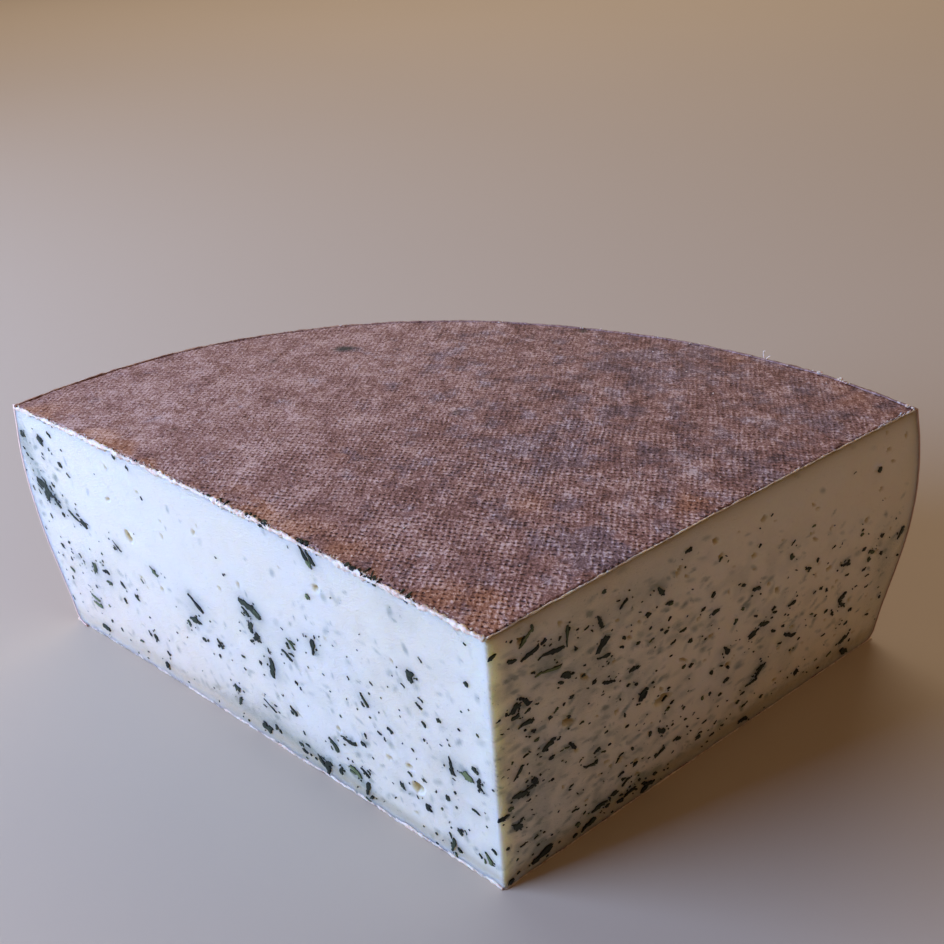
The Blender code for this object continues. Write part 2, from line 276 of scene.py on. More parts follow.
def write_points(piece, points):
    """Moves a piece's vertices."""
    piece.data.vertices.foreach_set("co", np.asarray(points, np.float32).ravel())
    piece.data.update()


def write_attribute(piece, name, values):
    """Stores one number on each vertex of a piece, for its finish to read."""
    layer = piece.data.attributes.new(name, "FLOAT", "POINT")
    layer.data.foreach_set("value", np.asarray(values, np.float32))


def read_attribute(piece, name):
    """Returns the numbers stored on a piece's vertices."""
    values = np.empty(len(piece.data.vertices), np.float32)
    piece.data.attributes[name].data.foreach_get("value", values)
    return values.astype(float)


def corner_vertices(piece):
    """Returns the vertex number of each corner of a piece's faces."""
    corners = np.empty(len(piece.data.loops), np.int32)
    piece.data.loops.foreach_get("vertex_index", corners)
    return corners


def write_uv(piece, name, places):
    """Stores a flat place for each vertex of a piece, for its finish to read."""
    layer = piece.data.uv_layers.new(name=name)
    corners = np.asarray(places, np.float32)[corner_vertices(piece)]
    layer.data.foreach_set("uv", corners.ravel())


def add_grid(name, points):
    """Adds a grid and lays its vertices on points, given by row and column."""
    rows, columns = points.shape[:2]
    piece = new_object(MESH.primitive_grid_add, x_subdivisions=columns - 1,
                       y_subdivisions=rows - 1, size=1.0, calc_uvs=False)
    piece.name = piece.data.name = name
    flat = read_points(piece)
    column = np.rint((flat[:, 0] + 0.5) * (columns - 1)).astype(int)
    row = np.rint((flat[:, 1] + 0.5) * (rows - 1)).astype(int)
    write_points(piece, points[row, column])
    return piece, row, column


def in_edit(piece, *steps):
    """Runs edit mode steps on a piece, each an operator with its settings."""
    bpy.ops.object.select_all(action="DESELECT")
    piece.select_set(True)
    bpy.context.view_layer.objects.active = piece
    bpy.ops.object.mode_set(mode="EDIT")
    for operator, settings in steps:
        operator(**settings)
    bpy.ops.object.mode_set(mode="OBJECT")


def delete_faces(piece, chosen):
    """Deletes faces of a piece."""
    mesh = piece.data
    mesh.vertices.foreach_set("select", np.zeros(len(mesh.vertices), bool))
    mesh.edges.foreach_set("select", np.zeros(len(mesh.edges), bool))
    mesh.polygons.foreach_set("select", chosen)
    in_edit(piece, (MESH.delete, {"type": "FACE"}))


def close_slab(piece, sink, *after):
    """Extrudes a sheet's border down or up and closes the far side."""
    in_edit(piece, NONE, OPEN_EDGES,
            (MESH.extrude_region_move, {"TRANSFORM_OT_translate": {"value": (0.0, 0.0, sink)}}),
            (MESH.edge_face_add, {}), ALL, TURN_OUT, *after)


def weld_and_cap(piece, reach):
    """Joins points that are closer than reach and closes what stays open."""
    in_edit(piece, ALL, (MESH.remove_doubles, {"threshold": reach}), NONE, OPEN_EDGES,
            (MESH.fill_holes, {"sides": 0}), ALL, TURN_OUT)


def finish_piece(piece, finish, smooth=True):
    """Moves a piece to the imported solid's frame and says what it stands for."""
    if smooth:
        piece.data.shade_smooth()
    low, high = CAD_BOUNDS
    points = read_points(piece) + np.array(SHIFT)
    write_points(piece, np.clip(points, np.array(low), np.array(high)))
    piece.data.materials.clear()
    piece.data.materials.append(finish)
    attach(piece, "root")
    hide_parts(NODE)


# Finishes

class Value:
    """A number that changes over a surface, with the arithmetic of shader nodes."""

    def __init__(self, finish, socket):
        self.finish = finish
        self.socket = socket

    def math(self, operation, *sockets, clamp=False):
        """Returns what one operation makes of numbers."""
        settings = {"operation": operation, "use_clamp": clamp}
        made = self.finish.node("ShaderNodeMath", settings, dict(enumerate(sockets)))
        return Value(self.finish, made.outputs[0])

    def __add__(self, other):
        return self.math("ADD", self, other)

    def __sub__(self, other):
        return self.math("SUBTRACT", self, other)

    def __rsub__(self, other):
        return self.math("SUBTRACT", other, self)

    def __mul__(self, other):
        return self.math("MULTIPLY", self, other)

    def __pow__(self, other):
        return self.math("POWER", self, other)

    __radd__ = __add__
    __rmul__ = __mul__

    def clamped(self):
        """Returns the number kept between 0 and 1."""
        return self.math("ADD", self, 0.0, clamp=True)

    def between(self, low, high):
        """Returns 0 below low, 1 above high and a soft change between them."""
        made = self.finish.node("ShaderNodeMapRange", {"interpolation_type": "SMOOTHSTEP"},
                                {"Value": self, "From Min": low, "From Max": high})
        return Value(self.finish, made.outputs["Result"])


class Nodes:
    """A tree of shader nodes and the one method that adds to it."""

    def __init__(self, tree):
        self.tree = tree

    def put(self, socket, value):
        """Links a value to a socket, or sets the socket to it."""
        if isinstance(value, Value):
            value = value.socket
        if isinstance(value, bpy.types.NodeSocket):
            self.tree.links.new(value, socket)
        elif socket.type == "RGBA":
            socket.default_value = (*value, 1.0)
        else:
            socket.default_value = value

    def node(self, kind, settings=None, sockets=None):
        """Adds a node: its settings first, then the values or links of its sockets."""
        made = self.tree.nodes.new(kind)
        for name, value in (settings or {}).items():
            setattr(made, name, value)
        for name, value in (sockets or {}).items():
            self.put(made.inputs[name], value)
        return made


class Finish(Nodes):
    """A material, with the patterns and colours that its shader is made of."""

    def __init__(self, name):
        self.material = bpy.data.materials.new(name)
        self.material.use_nodes = True
        super().__init__(self.material.node_tree)
        self.shader = self.tree.nodes["Principled BSDF"]
        self.places = self.node("ShaderNodeTexCoord").outputs["Object"]

    def noise(self, reach, detail=2.0, rough=0.5, places=None, stretch=(1.0, 1.0, 1.0), turn=0.0):
        """Returns a noise around 0.5, whose lumps are about as wide as reach."""
        mapped = self.node("ShaderNodeMapping", None, {
            "Vector": places or self.places, "Scale": stretch, "Rotation": (0.0, 0.0, turn)})
        made = self.node("ShaderNodeTexNoise", None, {
            "Vector": mapped.outputs["Vector"], "Scale": 1.0 / reach, "Detail": detail,
            "Roughness": rough})
        return Value(self, made.outputs["Fac"])

    def attribute(self, name):
        """Returns a number stored on the piece's vertices."""
        made = self.node("ShaderNodeAttribute", {"attribute_name": name})
        return Value(self, made.outputs["Fac"])

    def flat_places(self, name):
        """Returns the places that a piece's UV map gives."""
        return self.node("ShaderNodeUVMap", {"uv_map": name}).outputs["UV"]

    def vector(self, operation, *sockets):
        """Returns what one operation makes of vectors."""
        made = self.node("ShaderNodeVectorMath", {"operation": operation}, dict(enumerate(sockets)))
        return made.outputs["Vector"]

    def mix(self, share, first, second):
        """Returns a colour between two colours."""
        made = self.node("ShaderNodeMix", {"data_type": "RGBA"}, {0: share, 6: first, 7: second})
        return made.outputs[2]

    def ramp(self, value, stops):
        """Returns a colour from a row of places and colours."""
        made = self.node("ShaderNodeValToRGB", None, {"Fac": value})
        elements = made.color_ramp.elements
        for extra in range(len(stops) - 2):
            elements.new((extra + 1) / len(stops))
        for element, (place, colour) in zip(elements, stops):
            element.position = place
            element.color = (*colour, 1.0)
        return made.outputs["Color"]

    def bump(self, height, distance, strength):
        """Returns a normal that leans as a fine relief does."""
        sockets = {"Height": height, "Distance": distance, "Strength": strength}
        return self.node("ShaderNodeBump", None, sockets).outputs["Normal"]

    def set(self, **values):
        """Sets or links the shader's own sockets, named with _ for a space."""
        for name, value in values.items():
            self.put(self.shader.inputs[name.replace("_", " ")], value)
        return self.material


# Colours of the paste, and of what tints it
PASTE = {"warm": (0.82, 0.735, 0.55), "cool": (0.81, 0.745, 0.59), "drift": (0.74, 0.72, 0.61),
         # tip: painted glow of light passing through the thin edge where the cuts meet
         "tip": (0.93, 0.89, 0.67), "herb": (0.20, 0.235, 0.175), "speck": (0.10, 0.13, 0.08),
         # foot: painted shade along the foot, warmed as painted bounce light from below
         "near rind": (0.48, 0.34, 0.16), "foot": (0.56, 0.46, 0.29),
         # border: peach of the outer and bottom edges, plus painted warm bounce light low on the
         # left cut; eye: golden inside of an eye, darkened as painted shade
         "border": (0.84, 0.60, 0.40), "eye": (0.50, 0.38, 0.14)}

# Colours of torn paste
LIP_STOPS = ((0.30, (0.60, 0.36, 0.24)), (0.48, (0.90, 0.66, 0.48)), (0.72, (0.97, 0.82, 0.64)))
LIP_PINK = (0.82, 0.58, 0.42)

# Colours of the rind, from its pits to its painted glints, and of its rolled and torn edges
RIND_BROWN = ((0.0, (0.058, 0.021, 0.016)), (0.30, (0.161, 0.064, 0.046)),
              (0.65, (0.325, 0.155, 0.121)), (1.0, (0.650, 0.440, 0.370)))
RIND_TAN = ((0.0, (0.085, 0.024, 0.011)), (0.35, (0.255, 0.087, 0.038)),
            (0.70, (0.450, 0.190, 0.088)), (1.0, (0.690, 0.420, 0.290)))
RIND_VIOLET = ((0.0, (0.040, 0.022, 0.026)), (0.35, (0.120, 0.070, 0.077)),
               (0.70, (0.240, 0.158, 0.168)), (1.0, (0.555, 0.455, 0.455)))
BEAD = {"east": (0.50, 0.32, 0.27), "west": (0.58, 0.33, 0.20), "dark": (0.16, 0.06, 0.045)}
TORN = {"east": (0.52, 0.33, 0.25), "west": (0.86, 0.57, 0.42)}
STAIN = (0.018, 0.020, 0.018)

# Leaf: the finish's name, the colours of a bit's rim and heart, and its roughness
LEAF = {"dark": ("dark leaf", (0.004, 0.007, 0.005), (0.034, 0.046, 0.022), 0.45),
        "lush": ("green leaf", (0.016, 0.028, 0.016), (0.140, 0.175, 0.066), 0.40)}


def paste_finish():
    """Pale waxy paste, tinted near herb, in its eyes (partly painted shade) and under the rind, with
    painted shade and warm bounce at the foot and a painted glow at the tip.
    """
    skin = Finish("raclette paste")
    haze, eye = skin.attribute("haze"), skin.attribute("eye")
    near_rind, foot = skin.attribute("near_rind"), skin.attribute("foot")
    broad, drift = skin.noise(0.022, 2.0), skin.noise(0.009, 3.0)
    colour = skin.mix(broad.between(0.35, 0.65), PASTE["warm"], PASTE["cool"])
    colour = skin.mix(drift.between(0.5, 0.75) * 0.35, colour, PASTE["drift"])
    # Painted glow along the tip, where light passes through the thin edge.
    colour = skin.mix((skin.attribute("tip") * 0.9).clamped(), colour, PASTE["tip"])
    shade = skin.noise(0.0016, 3.0, 0.6)
    veil = (haze * (0.55 + 0.9 * shade)).clamped()
    colour = skin.mix(veil * 0.8, colour, PASTE["herb"])
    specks = skin.noise(0.0009, 2.0, 0.6).between(0.66, 0.72) * (0.15 + haze * 1.6).clamped()
    colour = skin.mix(specks * 0.75, colour, PASTE["speck"])
    colour = skin.mix((near_rind * 0.85).clamped(), colour, PASTE["near rind"])
    # Painted shade in the hollow along the foot, warmed as light bounced up from below.
    colour = skin.mix((foot * 0.6).clamped(), colour, PASTE["foot"])
    # Peach edge lines, and low on the left cut a painted warm bounce light.
    colour = skin.mix((skin.attribute("border") * 0.8).clamped(), colour, PASTE["border"])
    # Golden inside of the eyes, darkened to paint the shade in the holes.
    colour = skin.mix(eye * 0.85, colour, PASTE["eye"])
    knife_drag = skin.noise(0.0014, 4.0, 0.65, skin.flat_places("cut"), (1.0, 4.0, 1.0), KNIFE_TURN)
    normal = skin.bump(knife_drag * 0.6 + skin.noise(0.0006, 3.0, 0.6) * 0.4, 0.00055, 1.0)
    return skin.set(Base_Color=colour, Normal=normal, Roughness=drift * 0.2 + 0.34,
                    Subsurface_Weight=0.95, Subsurface_Radius=(1.0, 0.80, 0.46),
                    Subsurface_Scale=0.0074, IOR=1.42, Specular_IOR_Level=0.35)


def lip_finish():
    """Torn paste at the edges of the cuts, whiter and pinker than the paste."""
    skin = Finish("torn paste")
    lump = skin.noise(0.0012, 3.0, 0.6)
    broad = skin.noise(0.011, 2.0)
    colour = skin.ramp(lump, LIP_STOPS)
    colour = skin.mix(broad.between(0.45, 0.7) * 0.4, colour, LIP_PINK)
    return skin.set(Base_Color=colour, Roughness=lump * 0.3 + 0.4,
                    Normal=skin.bump(skin.noise(0.0005, 2.0), 0.0002, 0.8),
                    Subsurface_Weight=0.6, Subsurface_Radius=(1.0, 0.6, 0.4),
                    Subsurface_Scale=0.0012)


def cloth_cell(skin, places, shift):
    """Returns, for the cloth's net moved by a share of a cell, the number of each cell, the
    place inside it and its chance numbers, all as two or three values."""
    moved = skin.vector("ADD", places, (shift, shift, 0.0))
    cell, inner = skin.vector("FLOOR", moved), skin.vector("FRACTION", moved)
    chance = skin.node("ShaderNodeTexWhiteNoise", {"noise_dimensions": "2D"}, {"Vector": cell})
    rows = []
    for vector in (cell, inner, chance.outputs["Color"]):
        parts = skin.node("ShaderNodeSeparateXYZ", None, {"Vector": vector})
        rows.append([Value(skin, parts.outputs[axis]) for axis in "XYZ"])
    return rows


def cloth_print(skin, press):
    """Returns the cloth's print: its pits, one to a crossing of threads, and its raised knots, which
    also place painted glints.
    """
    cloth = skin.flat_places("cloth")
    stray = skin.node("ShaderNodeTexNoise", None, {
        "Vector": cloth, "Scale": 0.5, "Detail": 3.0, "Roughness": 0.65}).outputs["Color"]
    pulled = skin.vector("MULTIPLY_ADD", stray, (0.6, 0.6, 0.0), cloth)
    fray = skin.noise(0.0005, 2.0, 0.6) - 0.5
    index, inner, chance = cloth_cell(skin, pulled, 0.0)
    odd = index[0].math("FLOORED_MODULO", index[0] + index[1], 2.0)
    far_u = (inner[0] - 0.35 - chance[0] * 0.30) * (0.95 + odd * 0.75)
    far_v = (inner[1] - 0.33 - chance[1] * 0.34) * (2.1 - odd * 0.60)
    far = (far_u * far_u + far_v * far_v) ** 0.5
    pit = (1.0 - (far + fray * 0.5).between(0.10, 0.50)) * (chance[2] * 1.1 + 0.12) * press
    _, inner, chance = cloth_cell(skin, pulled, 0.5)
    far_u, far_v = inner[0] - 0.5, inner[1] - 0.5
    far = (far_u * far_u + far_v * far_v) ** 0.5
    knot_and_glint = (1.0 - (far + fray * 0.5).between(0.05, 0.42)) * chance[2] * press
    return pit, knot_and_glint


def rind_finish(name, print_share=1.0):
    """Washed rind with the print of a press cloth: dark pits in a paler net, with painted glints on
    its knots.
    """
    skin = Finish(name)
    fade = skin.noise(0.012, 3.0, 0.6).between(0.25, 0.6) * 0.6 + 0.45
    pit, knot_and_glint = cloth_print(skin, fade * skin.attribute("press") * print_share)
    grain, fine = skin.noise(0.00046, 2.0, 0.7), skin.noise(0.0011, 3.0, 0.7)
    middle, worn = skin.noise(0.0024, 2.0, 0.6), skin.noise(0.0085, 3.0, 0.6)
    hue, tone = skin.noise(0.014, 3.0, 0.65), skin.noise(0.0065, 4.0, 0.65)
    edge, west = skin.attribute("edge"), skin.attribute("west")
    # The knots lighten the colour as painted glints, where the ridges catch the light.
    light = 0.58 - pit * 0.80 + knot_and_glint * 0.45 + (grain - 0.5) * 1.6 + (fine - 0.5) * 1.05
    light = light + (middle - 0.5) * (1.0 - west * 0.5) + (worn - 0.5) * 0.9
    # Pale patches: partly paler rind, partly painted sheen at the left and the back.
    light = (light + skin.attribute("pale") * 0.13).clamped()
    warm = (skin.attribute("warm") * 1.3 + (hue - 0.5) * 1.8 - 0.16).between(0.0, 0.8)
    bloom = (skin.attribute("bloom") + (tone - 0.5) * 4.2 + 0.12 - west * 0.35).between(0.0, 0.9)
    colour = skin.mix(warm * 0.8, skin.ramp(light, RIND_BROWN), skin.ramp(light, RIND_TAN))
    colour = skin.mix(bloom * 0.7, colour, skin.ramp(light, RIND_VIOLET))
    bead = skin.mix(west, BEAD["east"], BEAD["west"])
    bead = skin.mix(middle.between(0.35, 0.65), skin.mix(0.6, bead, BEAD["dark"]), bead)
    colour = skin.mix((edge * (grain + fine * 1.6 - 0.45)).clamped(), colour, bead)
    colour = skin.mix(edge.between(0.9, 1.0), colour, skin.mix(west, TORN["east"], TORN["west"]))
    colour = skin.mix(skin.attribute("stain"), colour, STAIN)
    normal = skin.bump(light * 0.4 - pit * 0.7 + knot_and_glint * 0.3, 0.00035, 0.8)
    return skin.set(Base_Color=colour, Normal=normal, Roughness=0.72 - light * 0.28,
                    IOR=1.45, Specular_IOR_Level=0.40)


def herb_finish(name, rim, heart, shine):
    """Cut leaf: a dark rim round a heart, each bit with its own tone."""
    skin = Finish(name)
    tone, middle = skin.attribute("tone"), skin.attribute("heart")
    vein = skin.noise(0.0007, 3.0, 0.6)
    colour = skin.mix((middle * (0.2 + tone * 1.2) * vein * 1.8).clamped(), rim, heart)
    normal = skin.bump(vein, 0.00025, 0.9)
    return skin.set(Base_Color=colour, Normal=normal, Roughness=vein * 0.3 + shine,
                    Specular_IOR_Level=0.25)


# Herb: listed bits in millimetres and degrees, as distance from the tip, height,
# length, width and slant seen from outside

LEFT_BITS = (
    (157.5, 51, 5, 4, 45), (155.5, 49.5, 5, 2.6, 60), (156.5, 47, 4, 2.5, 90),
    (153.5, 47.8, 3.5, 1.2, 10), (152, 46, 3, 1.4, 45), (150, 67.3, 3.2, 2.2, 80),
    (158.5, 67, 2.5, 1.5, 45), (145, 44.3, 5, 1.2, 30), (140.8, 43.3, 3.4, 2, 25),
    (126.2, 41.8, 4, 0.9, 42), (136.3, 28.7, 3.2, 1.6, 0), (123.2, 25.5, 2.6, 1.4, 55),
    (118.6, 13.4, 2.6, 1.6, 80), (144.6, 4.3, 3.6, 2.6, -20), (116.5, 4.3, 3, 1.6, 100),
    (95, 36.8, 6.2, 1.6, 40), (97, 30.4, 3.6, 2.4, -5), (72, 46.5, 7.5, 2.5, 20),
    (74, 44.5, 3, 1.5, 50), (73.3, 40, 4, 1.8, -75), (72, 37.5, 3.6, 2, -45),
    (61.2, 37.5, 3.8, 1.2, 35), (68.3, 29.5, 7, 2, 95), (51, 45.5, 5, 1.6, -80),
    (47.8, 73.5, 4.5, 1.3, 70), (45.8, 72.8, 3.5, 1.2, 50), (21, 54.3, 3.4, 2.2, -70),
    (36.4, 37.8, 4, 1, 65), (12, 33.5, 5.5, 1, 80), (4.6, 32.8, 3, 1.5, 85),
    (44, 19.5, 4.4, 1.6, -10), (40.3, 11.2, 3.2, 1.2, 40), (40.3, 5.5, 5.5, 1.4, -75),
    (28, 15.5, 2.6, 1.4, 65), (20.6, 13.2, 2.4, 1.8, 60), (49, 6, 3.2, 1.4, 100),
    (85, 8.5, 3.5, 1.4, -60), (76, 4, 3.4, 2.4, 30), (56, 5, 4, 1.6, 60),
    (54, 3.5, 5, 2, -80), (72.5, 14.2, 4.8, 0.8, 30), (63.2, 18, 3.2, 1.4, 55))
LEFT_LUSH = (
    (111, 40, 3.6, 1.6, 40), (141.8, 27.7, 3.8, 2.2, 65), (136, 25, 2.8, 1.4, -10),
    (155, 21.5, 2.2, 1.4, 20), (146, 15, 4, 1.6, 15), (145.5, 12.8, 4.2, 1.8, 10),
    (69.5, 45.8, 3, 2, 60), (59, 42.2, 3.5, 1, 45), (7.6, 33.2, 3.2, 2.8, 0),
    (50, 14.5, 4.5, 2, 60), (43.5, 9.3, 4.2, 1.8, 35), (3.8, 8.5, 4, 1.6, 60),
    (14, 5, 5.5, 1.2, -80), (46.6, 71, 2.4, 1.4, 60))
RIGHT_BITS = (
    (9.8, 66.5, 4.6, 1.4, 22), (15.3, 63.7, 5.2, 1.5, -8), (27.5, 64.5, 4, 1.1, -65),
    (18.8, 55.2, 3.4, 2, -15), (28.3, 57.8, 4.4, 2.6, 60), (28.8, 54.3, 3.6, 1.2, -12),
    (8.3, 54.8, 3.6, 1.4, -50), (8.3, 48.6, 3.2, 1.6, 0), (13.4, 38.3, 3.2, 1.8, 15),
    (5.5, 35.8, 4, 1, 50), (5.5, 28.7, 4, 2, -15), (8.5, 29, 3.4, 1, 5),
    (4.7, 19, 3.6, 2.2, -50), (25.5, 23.5, 4, 0.9, -20), (27.8, 6.8, 4, 1.8, 5),
    (33, 8, 2.6, 1.8, 0), (11, 3.5, 6, 2.4, 20), (30, 46.2, 3.4, 1.1, -25),
    (41, 36.3, 2.6, 1.6, 5), (44.7, 63.5, 3.2, 1.4, -60), (76.8, 47.2, 2.8, 1.3, -20),
    (68.3, 32.8, 3.6, 1.6, -55), (77.3, 32.6, 3, 2.2, 20), (81.5, 33.8, 4, 1.4, -20),
    (91.7, 34.8, 2.8, 1.3, 5), (81.8, 17.5, 3.6, 1.6, 45), (79, 15.3, 3.8, 1.2, 0),
    (92.5, 24, 5.5, 1.5, -30), (113.5, 25.4, 3.4, 1.8, 30), (113.7, 23, 3.2, 1.4, -45),
    (112.3, 37.1, 3.6, 1.2, -22), (117.5, 8.3, 3.6, 2, 20), (118.5, 3, 3.5, 2, -30),
    (136, 36.5, 3.8, 1.8, 55), (78, 2.5, 3.4, 1.4, -15), (47.5, 19.3, 3.4, 1.6, -50),
    (25, 3, 3.6, 1.3, 25), (38, 4.5, 3, 1.2, 15), (44, 3, 3.2, 1.1, -20), (36.5, 9.5, 2.6, 1.1, 35))
RIGHT_LUSH = (
    (8.5, 70.5, 3.4, 1.2, 45), (10.5, 72.5, 2, 0.8, 100), (19, 65.5, 5.5, 0.8, 92),
    (14.5, 59.3, 6, 1, -12), (123.7, 35.8, 2.6, 1.2, -22), (89, 50.8, 2.2, 1.4, -45))
BITS = {"left": {"dark": LEFT_BITS, "lush": LEFT_LUSH},
        "right": {"dark": RIGHT_BITS, "lush": RIGHT_LUSH}}

# Eyes of the paste, in the same way
EYES = {
    "left": ((119, 48, 4, 2.6, 100), (23, 18.5, 4, 3, 45), (25, 24, 2.5, 1.5, 30),
             (124, 58, 2.6, 1.2, 30), (46, 65, 2.6, 1.4, 40), (88, 62, 1.8, 1.2, 60)),
    "right": ((19.2, 41.7, 4, 1.8, -35), (23.7, 51.8, 3.6, 1.4, -50), (47.5, 30, 5.5, 2.6, 0),
              (77, 67.3, 2, 2, 0), (53.5, 38.5, 4, 1, -40), (8, 71, 2.4, 1.4, 30),
              (50, 66, 3.0, 1.4, 60), (121.5, 73.3, 1.4, 1, 0), (98, 52, 2.6, 1.0, -35)),
}
FREE_EYES = {"left": 26, "right": 80}
EYE_LENGTH = (0.7, 2.2)
EYE_DEPTH = 0.60

# How strongly the paste browns under the rind
GOLD_SHARE = {"left": 0.12, "right": 1.0}

# Haze of fine herb under the surface: distance, height, reach along and up, strength; the rows that
# lie low along the foot also paint the shade there
HAZE = {
    "left": ((160, 62, 4, 11, 0.75), (153, 47, 6, 5, 0.40), (142, 26, 9, 7, 0.25),
             (74, 6, 24, 6, 0.80), (120, 4, 34, 3.5, 0.60), (40, 3, 24, 3, 0.40),
             (85, 1, 60, 2.5, 0.50), (97, 34, 7, 6, 0.20), (70, 42, 8, 6, 0.20),
             (22, 70, 6, 4, 0.16)),
    "right": ((30, 2, 44, 4, 0.75), (100, 2, 50, 4, 0.75), (26, 8, 22, 6, 0.32),
              (38, 66, 14, 5, 0.35), (131, 28, 5, 14, 0.50), (18, 30, 22, 22, 0.14),
              (82, 20, 14, 8, 0.16)),
}

# How strongly fine herb clouds the paste where it lies thick
HERB_SMOKE = {"left": 0.24, "right": 0.62}

# Bits that shimmer through the paste: how many, their length in millimetres and strength
FAINT_BITS = {"left": 420, "right": 720}
FAINT_LENGTH = (0.9, 3.4)
FAINT_STRENGTH = (0.15, 0.75)

# Bits scattered by rule: how many on each cut, shortest and longest in millimetres, how the
# short ones outnumber the long ones, and their slimness
LOOSE_BITS = ({"left": 28, "right": 44}, (1.5, 2.8), 1.4, (0.35, 0.85))
FINE_BITS = ({"left": 205, "right": 350}, (0.45, 1.8), 2.0, (0.32, 0.80))
LUSH_SHARE = 0.12
FRAYED_LENGTH = 2.4

# Slant of scattered bits: mean and spread in degrees
SLANT = {"left": (62.0, 30.0), "right": (-4.0, 34.0)}


def herb_share(side, distance, height):
    """Returns how thickly fine herb lies at a place of a cut, in millimetres, from 0 to 1."""
    if side == "left":
        tip = (1.0 - soft_step(45.0, 75.0, distance)) * (1.0 - 0.6 * soft_step(45.0, 70.0, height))
        low = 1.0 - soft_step(28.0, 54.0, height)
        foot = (1.0 - soft_step(5.0, 13.0, height)) * soft_step(28.0, 46.0, distance)
        foot *= 1.0 - 0.6 * soft_step(95.0, 125.0, distance)
        rim = soft_step(135.0, 155.0, distance) * (1.0 - soft_step(66.0, 74.0, height))
        return max(0.04, 0.42 * tip, 0.30 * low, foot, 0.60 * rim)
    line = 70.0 - 0.30 * max(distance - 45.0, 0.0)
    under = 1.0 - soft_step(line - 10.0, line + 10.0, height)
    foot = (1.0 - soft_step(5.0, 10.0, height)) * (1.0 - soft_step(45.0, 75.0, distance))
    return max(0.03, 0.60 * under * (1.0 - 0.0052 * distance), foot)


def on_cut(side, distance, height):
    """Tells whether a place lies on a cut, clear of its edges, in millimetres."""
    if not 0.8 < height < WHEEL_HEIGHT / MM - 0.8:
        return False
    return 0.6 < distance < cut_length(side, height * MM / WHEEL_HEIGHT) / MM - 1.2


def slant_turn(side, slant):
    """Returns a slant, given in degrees as seen from outside, as a turn on the cut."""
    return math.radians(180.0 - slant if side == "left" else slant)


def frayed_ends(draw, side, kind, row):
    """Returns the thin tails and the crumbs that trail off a torn bit of leaf."""
    distance, height, length, _, slant = row
    if length < FRAYED_LENGTH:
        return []
    turn, tails = slant_turn(side, slant), []
    for _ in range(draw.choice((0, 1, 1, 2))):
        reach = draw.choice((-1.0, 1.0)) * length * draw.uniform(0.3, 0.6)
        place = distance + reach * math.cos(turn), height + reach * math.sin(turn)
        tails.append((side, kind, *place, length * draw.uniform(0.25, 0.5),
                      draw.uniform(0.45, 0.9), slant + draw.uniform(-35.0, 35.0)))
    for _ in range(draw.choice((1, 2, 3, 4))):
        size = draw.uniform(0.3, 0.8)
        tails.append((side, "dark", distance + draw.gauss(0.0, 0.5) * length,
                      height + draw.gauss(0.0, 0.5) * length, size, size * 0.7, slant))
    return [tail for tail in tails if on_cut(side, tail[2], tail[3])]


def free_places(draw, side, count):
    """Returns places on a cut, drawn as thickly as fine herb lies there, in millimetres."""
    places = []
    while len(places) < count:
        distance = draw.uniform(0.8, cut_length(side, 0.5) / MM - 0.8)
        height = draw.uniform(0.8, WHEEL_HEIGHT / MM - 1.2)
        if draw.random() < herb_share(side, distance, height) and on_cut(side, distance, height):
            places.append((distance, height))
    return places


def place_bits(draw):
    """Returns every bit of herb on the cuts: side, kind, and its five measures."""
    placed = []
    for side, kinds in BITS.items():
        for kind, rows in kinds.items():
            for row in rows:
                placed.append((side, kind, *row))
                placed += frayed_ends(draw, side, kind, row)
    for counts, (shortest, longest), favour, slimness in (LOOSE_BITS, FINE_BITS):
        for side, count in counts.items():
            mean, spread = SLANT[side]
            for distance, height in free_places(draw, side, count):
                length = shortest + (longest - shortest) * draw.random() ** favour
                kind = "lush" if draw.random() < LUSH_SHARE else "dark"
                row = (distance, height, length, length * draw.uniform(*slimness),
                       draw.gauss(mean, spread))
                placed.append((side, kind, *row))
                placed += frayed_ends(draw, side, kind, row)
    return placed


def place_faint(draw):
    """Returns the bits that lie just under the cuts: side, five measures and strength."""
    placed = []
    for side, count in FAINT_BITS.items():
        mean, spread = SLANT[side]
        for distance, height in free_places(draw, side, count):
            length = draw.uniform(*FAINT_LENGTH)
            placed.append((side, distance, height, length, length * draw.uniform(0.3, 0.6),
                           draw.gauss(mean, spread), draw.uniform(*FAINT_STRENGTH)))
    return placed


def place_eyes(draw):
    """Returns every eye of the cuts: side and its five measures."""
    placed = [(side, *row) for side, rows in EYES.items() for row in rows]
    for side, count in FREE_EYES.items():
        for _ in range(count):
            length = draw.uniform(*EYE_LENGTH)
            placed.append((side, draw.uniform(6.0, 132.0), draw.uniform(8.0, 70.0), length,
                           length * draw.uniform(0.4, 0.8), draw.gauss(SLANT[side][0], 40.0)))
    return placed


# Paste

# Of these marks, tip is a painted glow, foot painted shade with warm bounce light, and eye and
# border are partly painted shade and bounce light.
MARKS = ("haze", "eye", "foot", "near_rind", "border", "tip")

# Relief of the cuts in millimetres: its waves, the raised rim of an eye, and the middle, the
# reach and the depth of the hollow along the foot
CUT_WAVES = ((0.08, 7.0, 5), (0.06, 2.2, 6), (0.04, 1.2, 9))
EYE_RIM = 0.10
FOOT_HOLLOW = (3.4, 1.9, 0.22)


def within(distance, height, middle, level, reach):
    """Tells which places lie within a reach of a middle, along the cut and up it."""
    return (abs(distance - middle) < reach) & (abs(height - level) < reach)


def oval_distance(side, distance, height, row):
    """Returns how far places lie from the middle of an oval, as a share of its size."""
    middle, level, length, width, slant = row
    turn = slant_turn(side, slant)
    right, up = distance - middle, height - level
    along = (right * math.cos(turn) + up * math.sin(turn)) / (length / 2.0)
    across = (up * math.cos(turn) - right * math.sin(turn)) / (width / 2.0)
    return np.hypot(along, across)


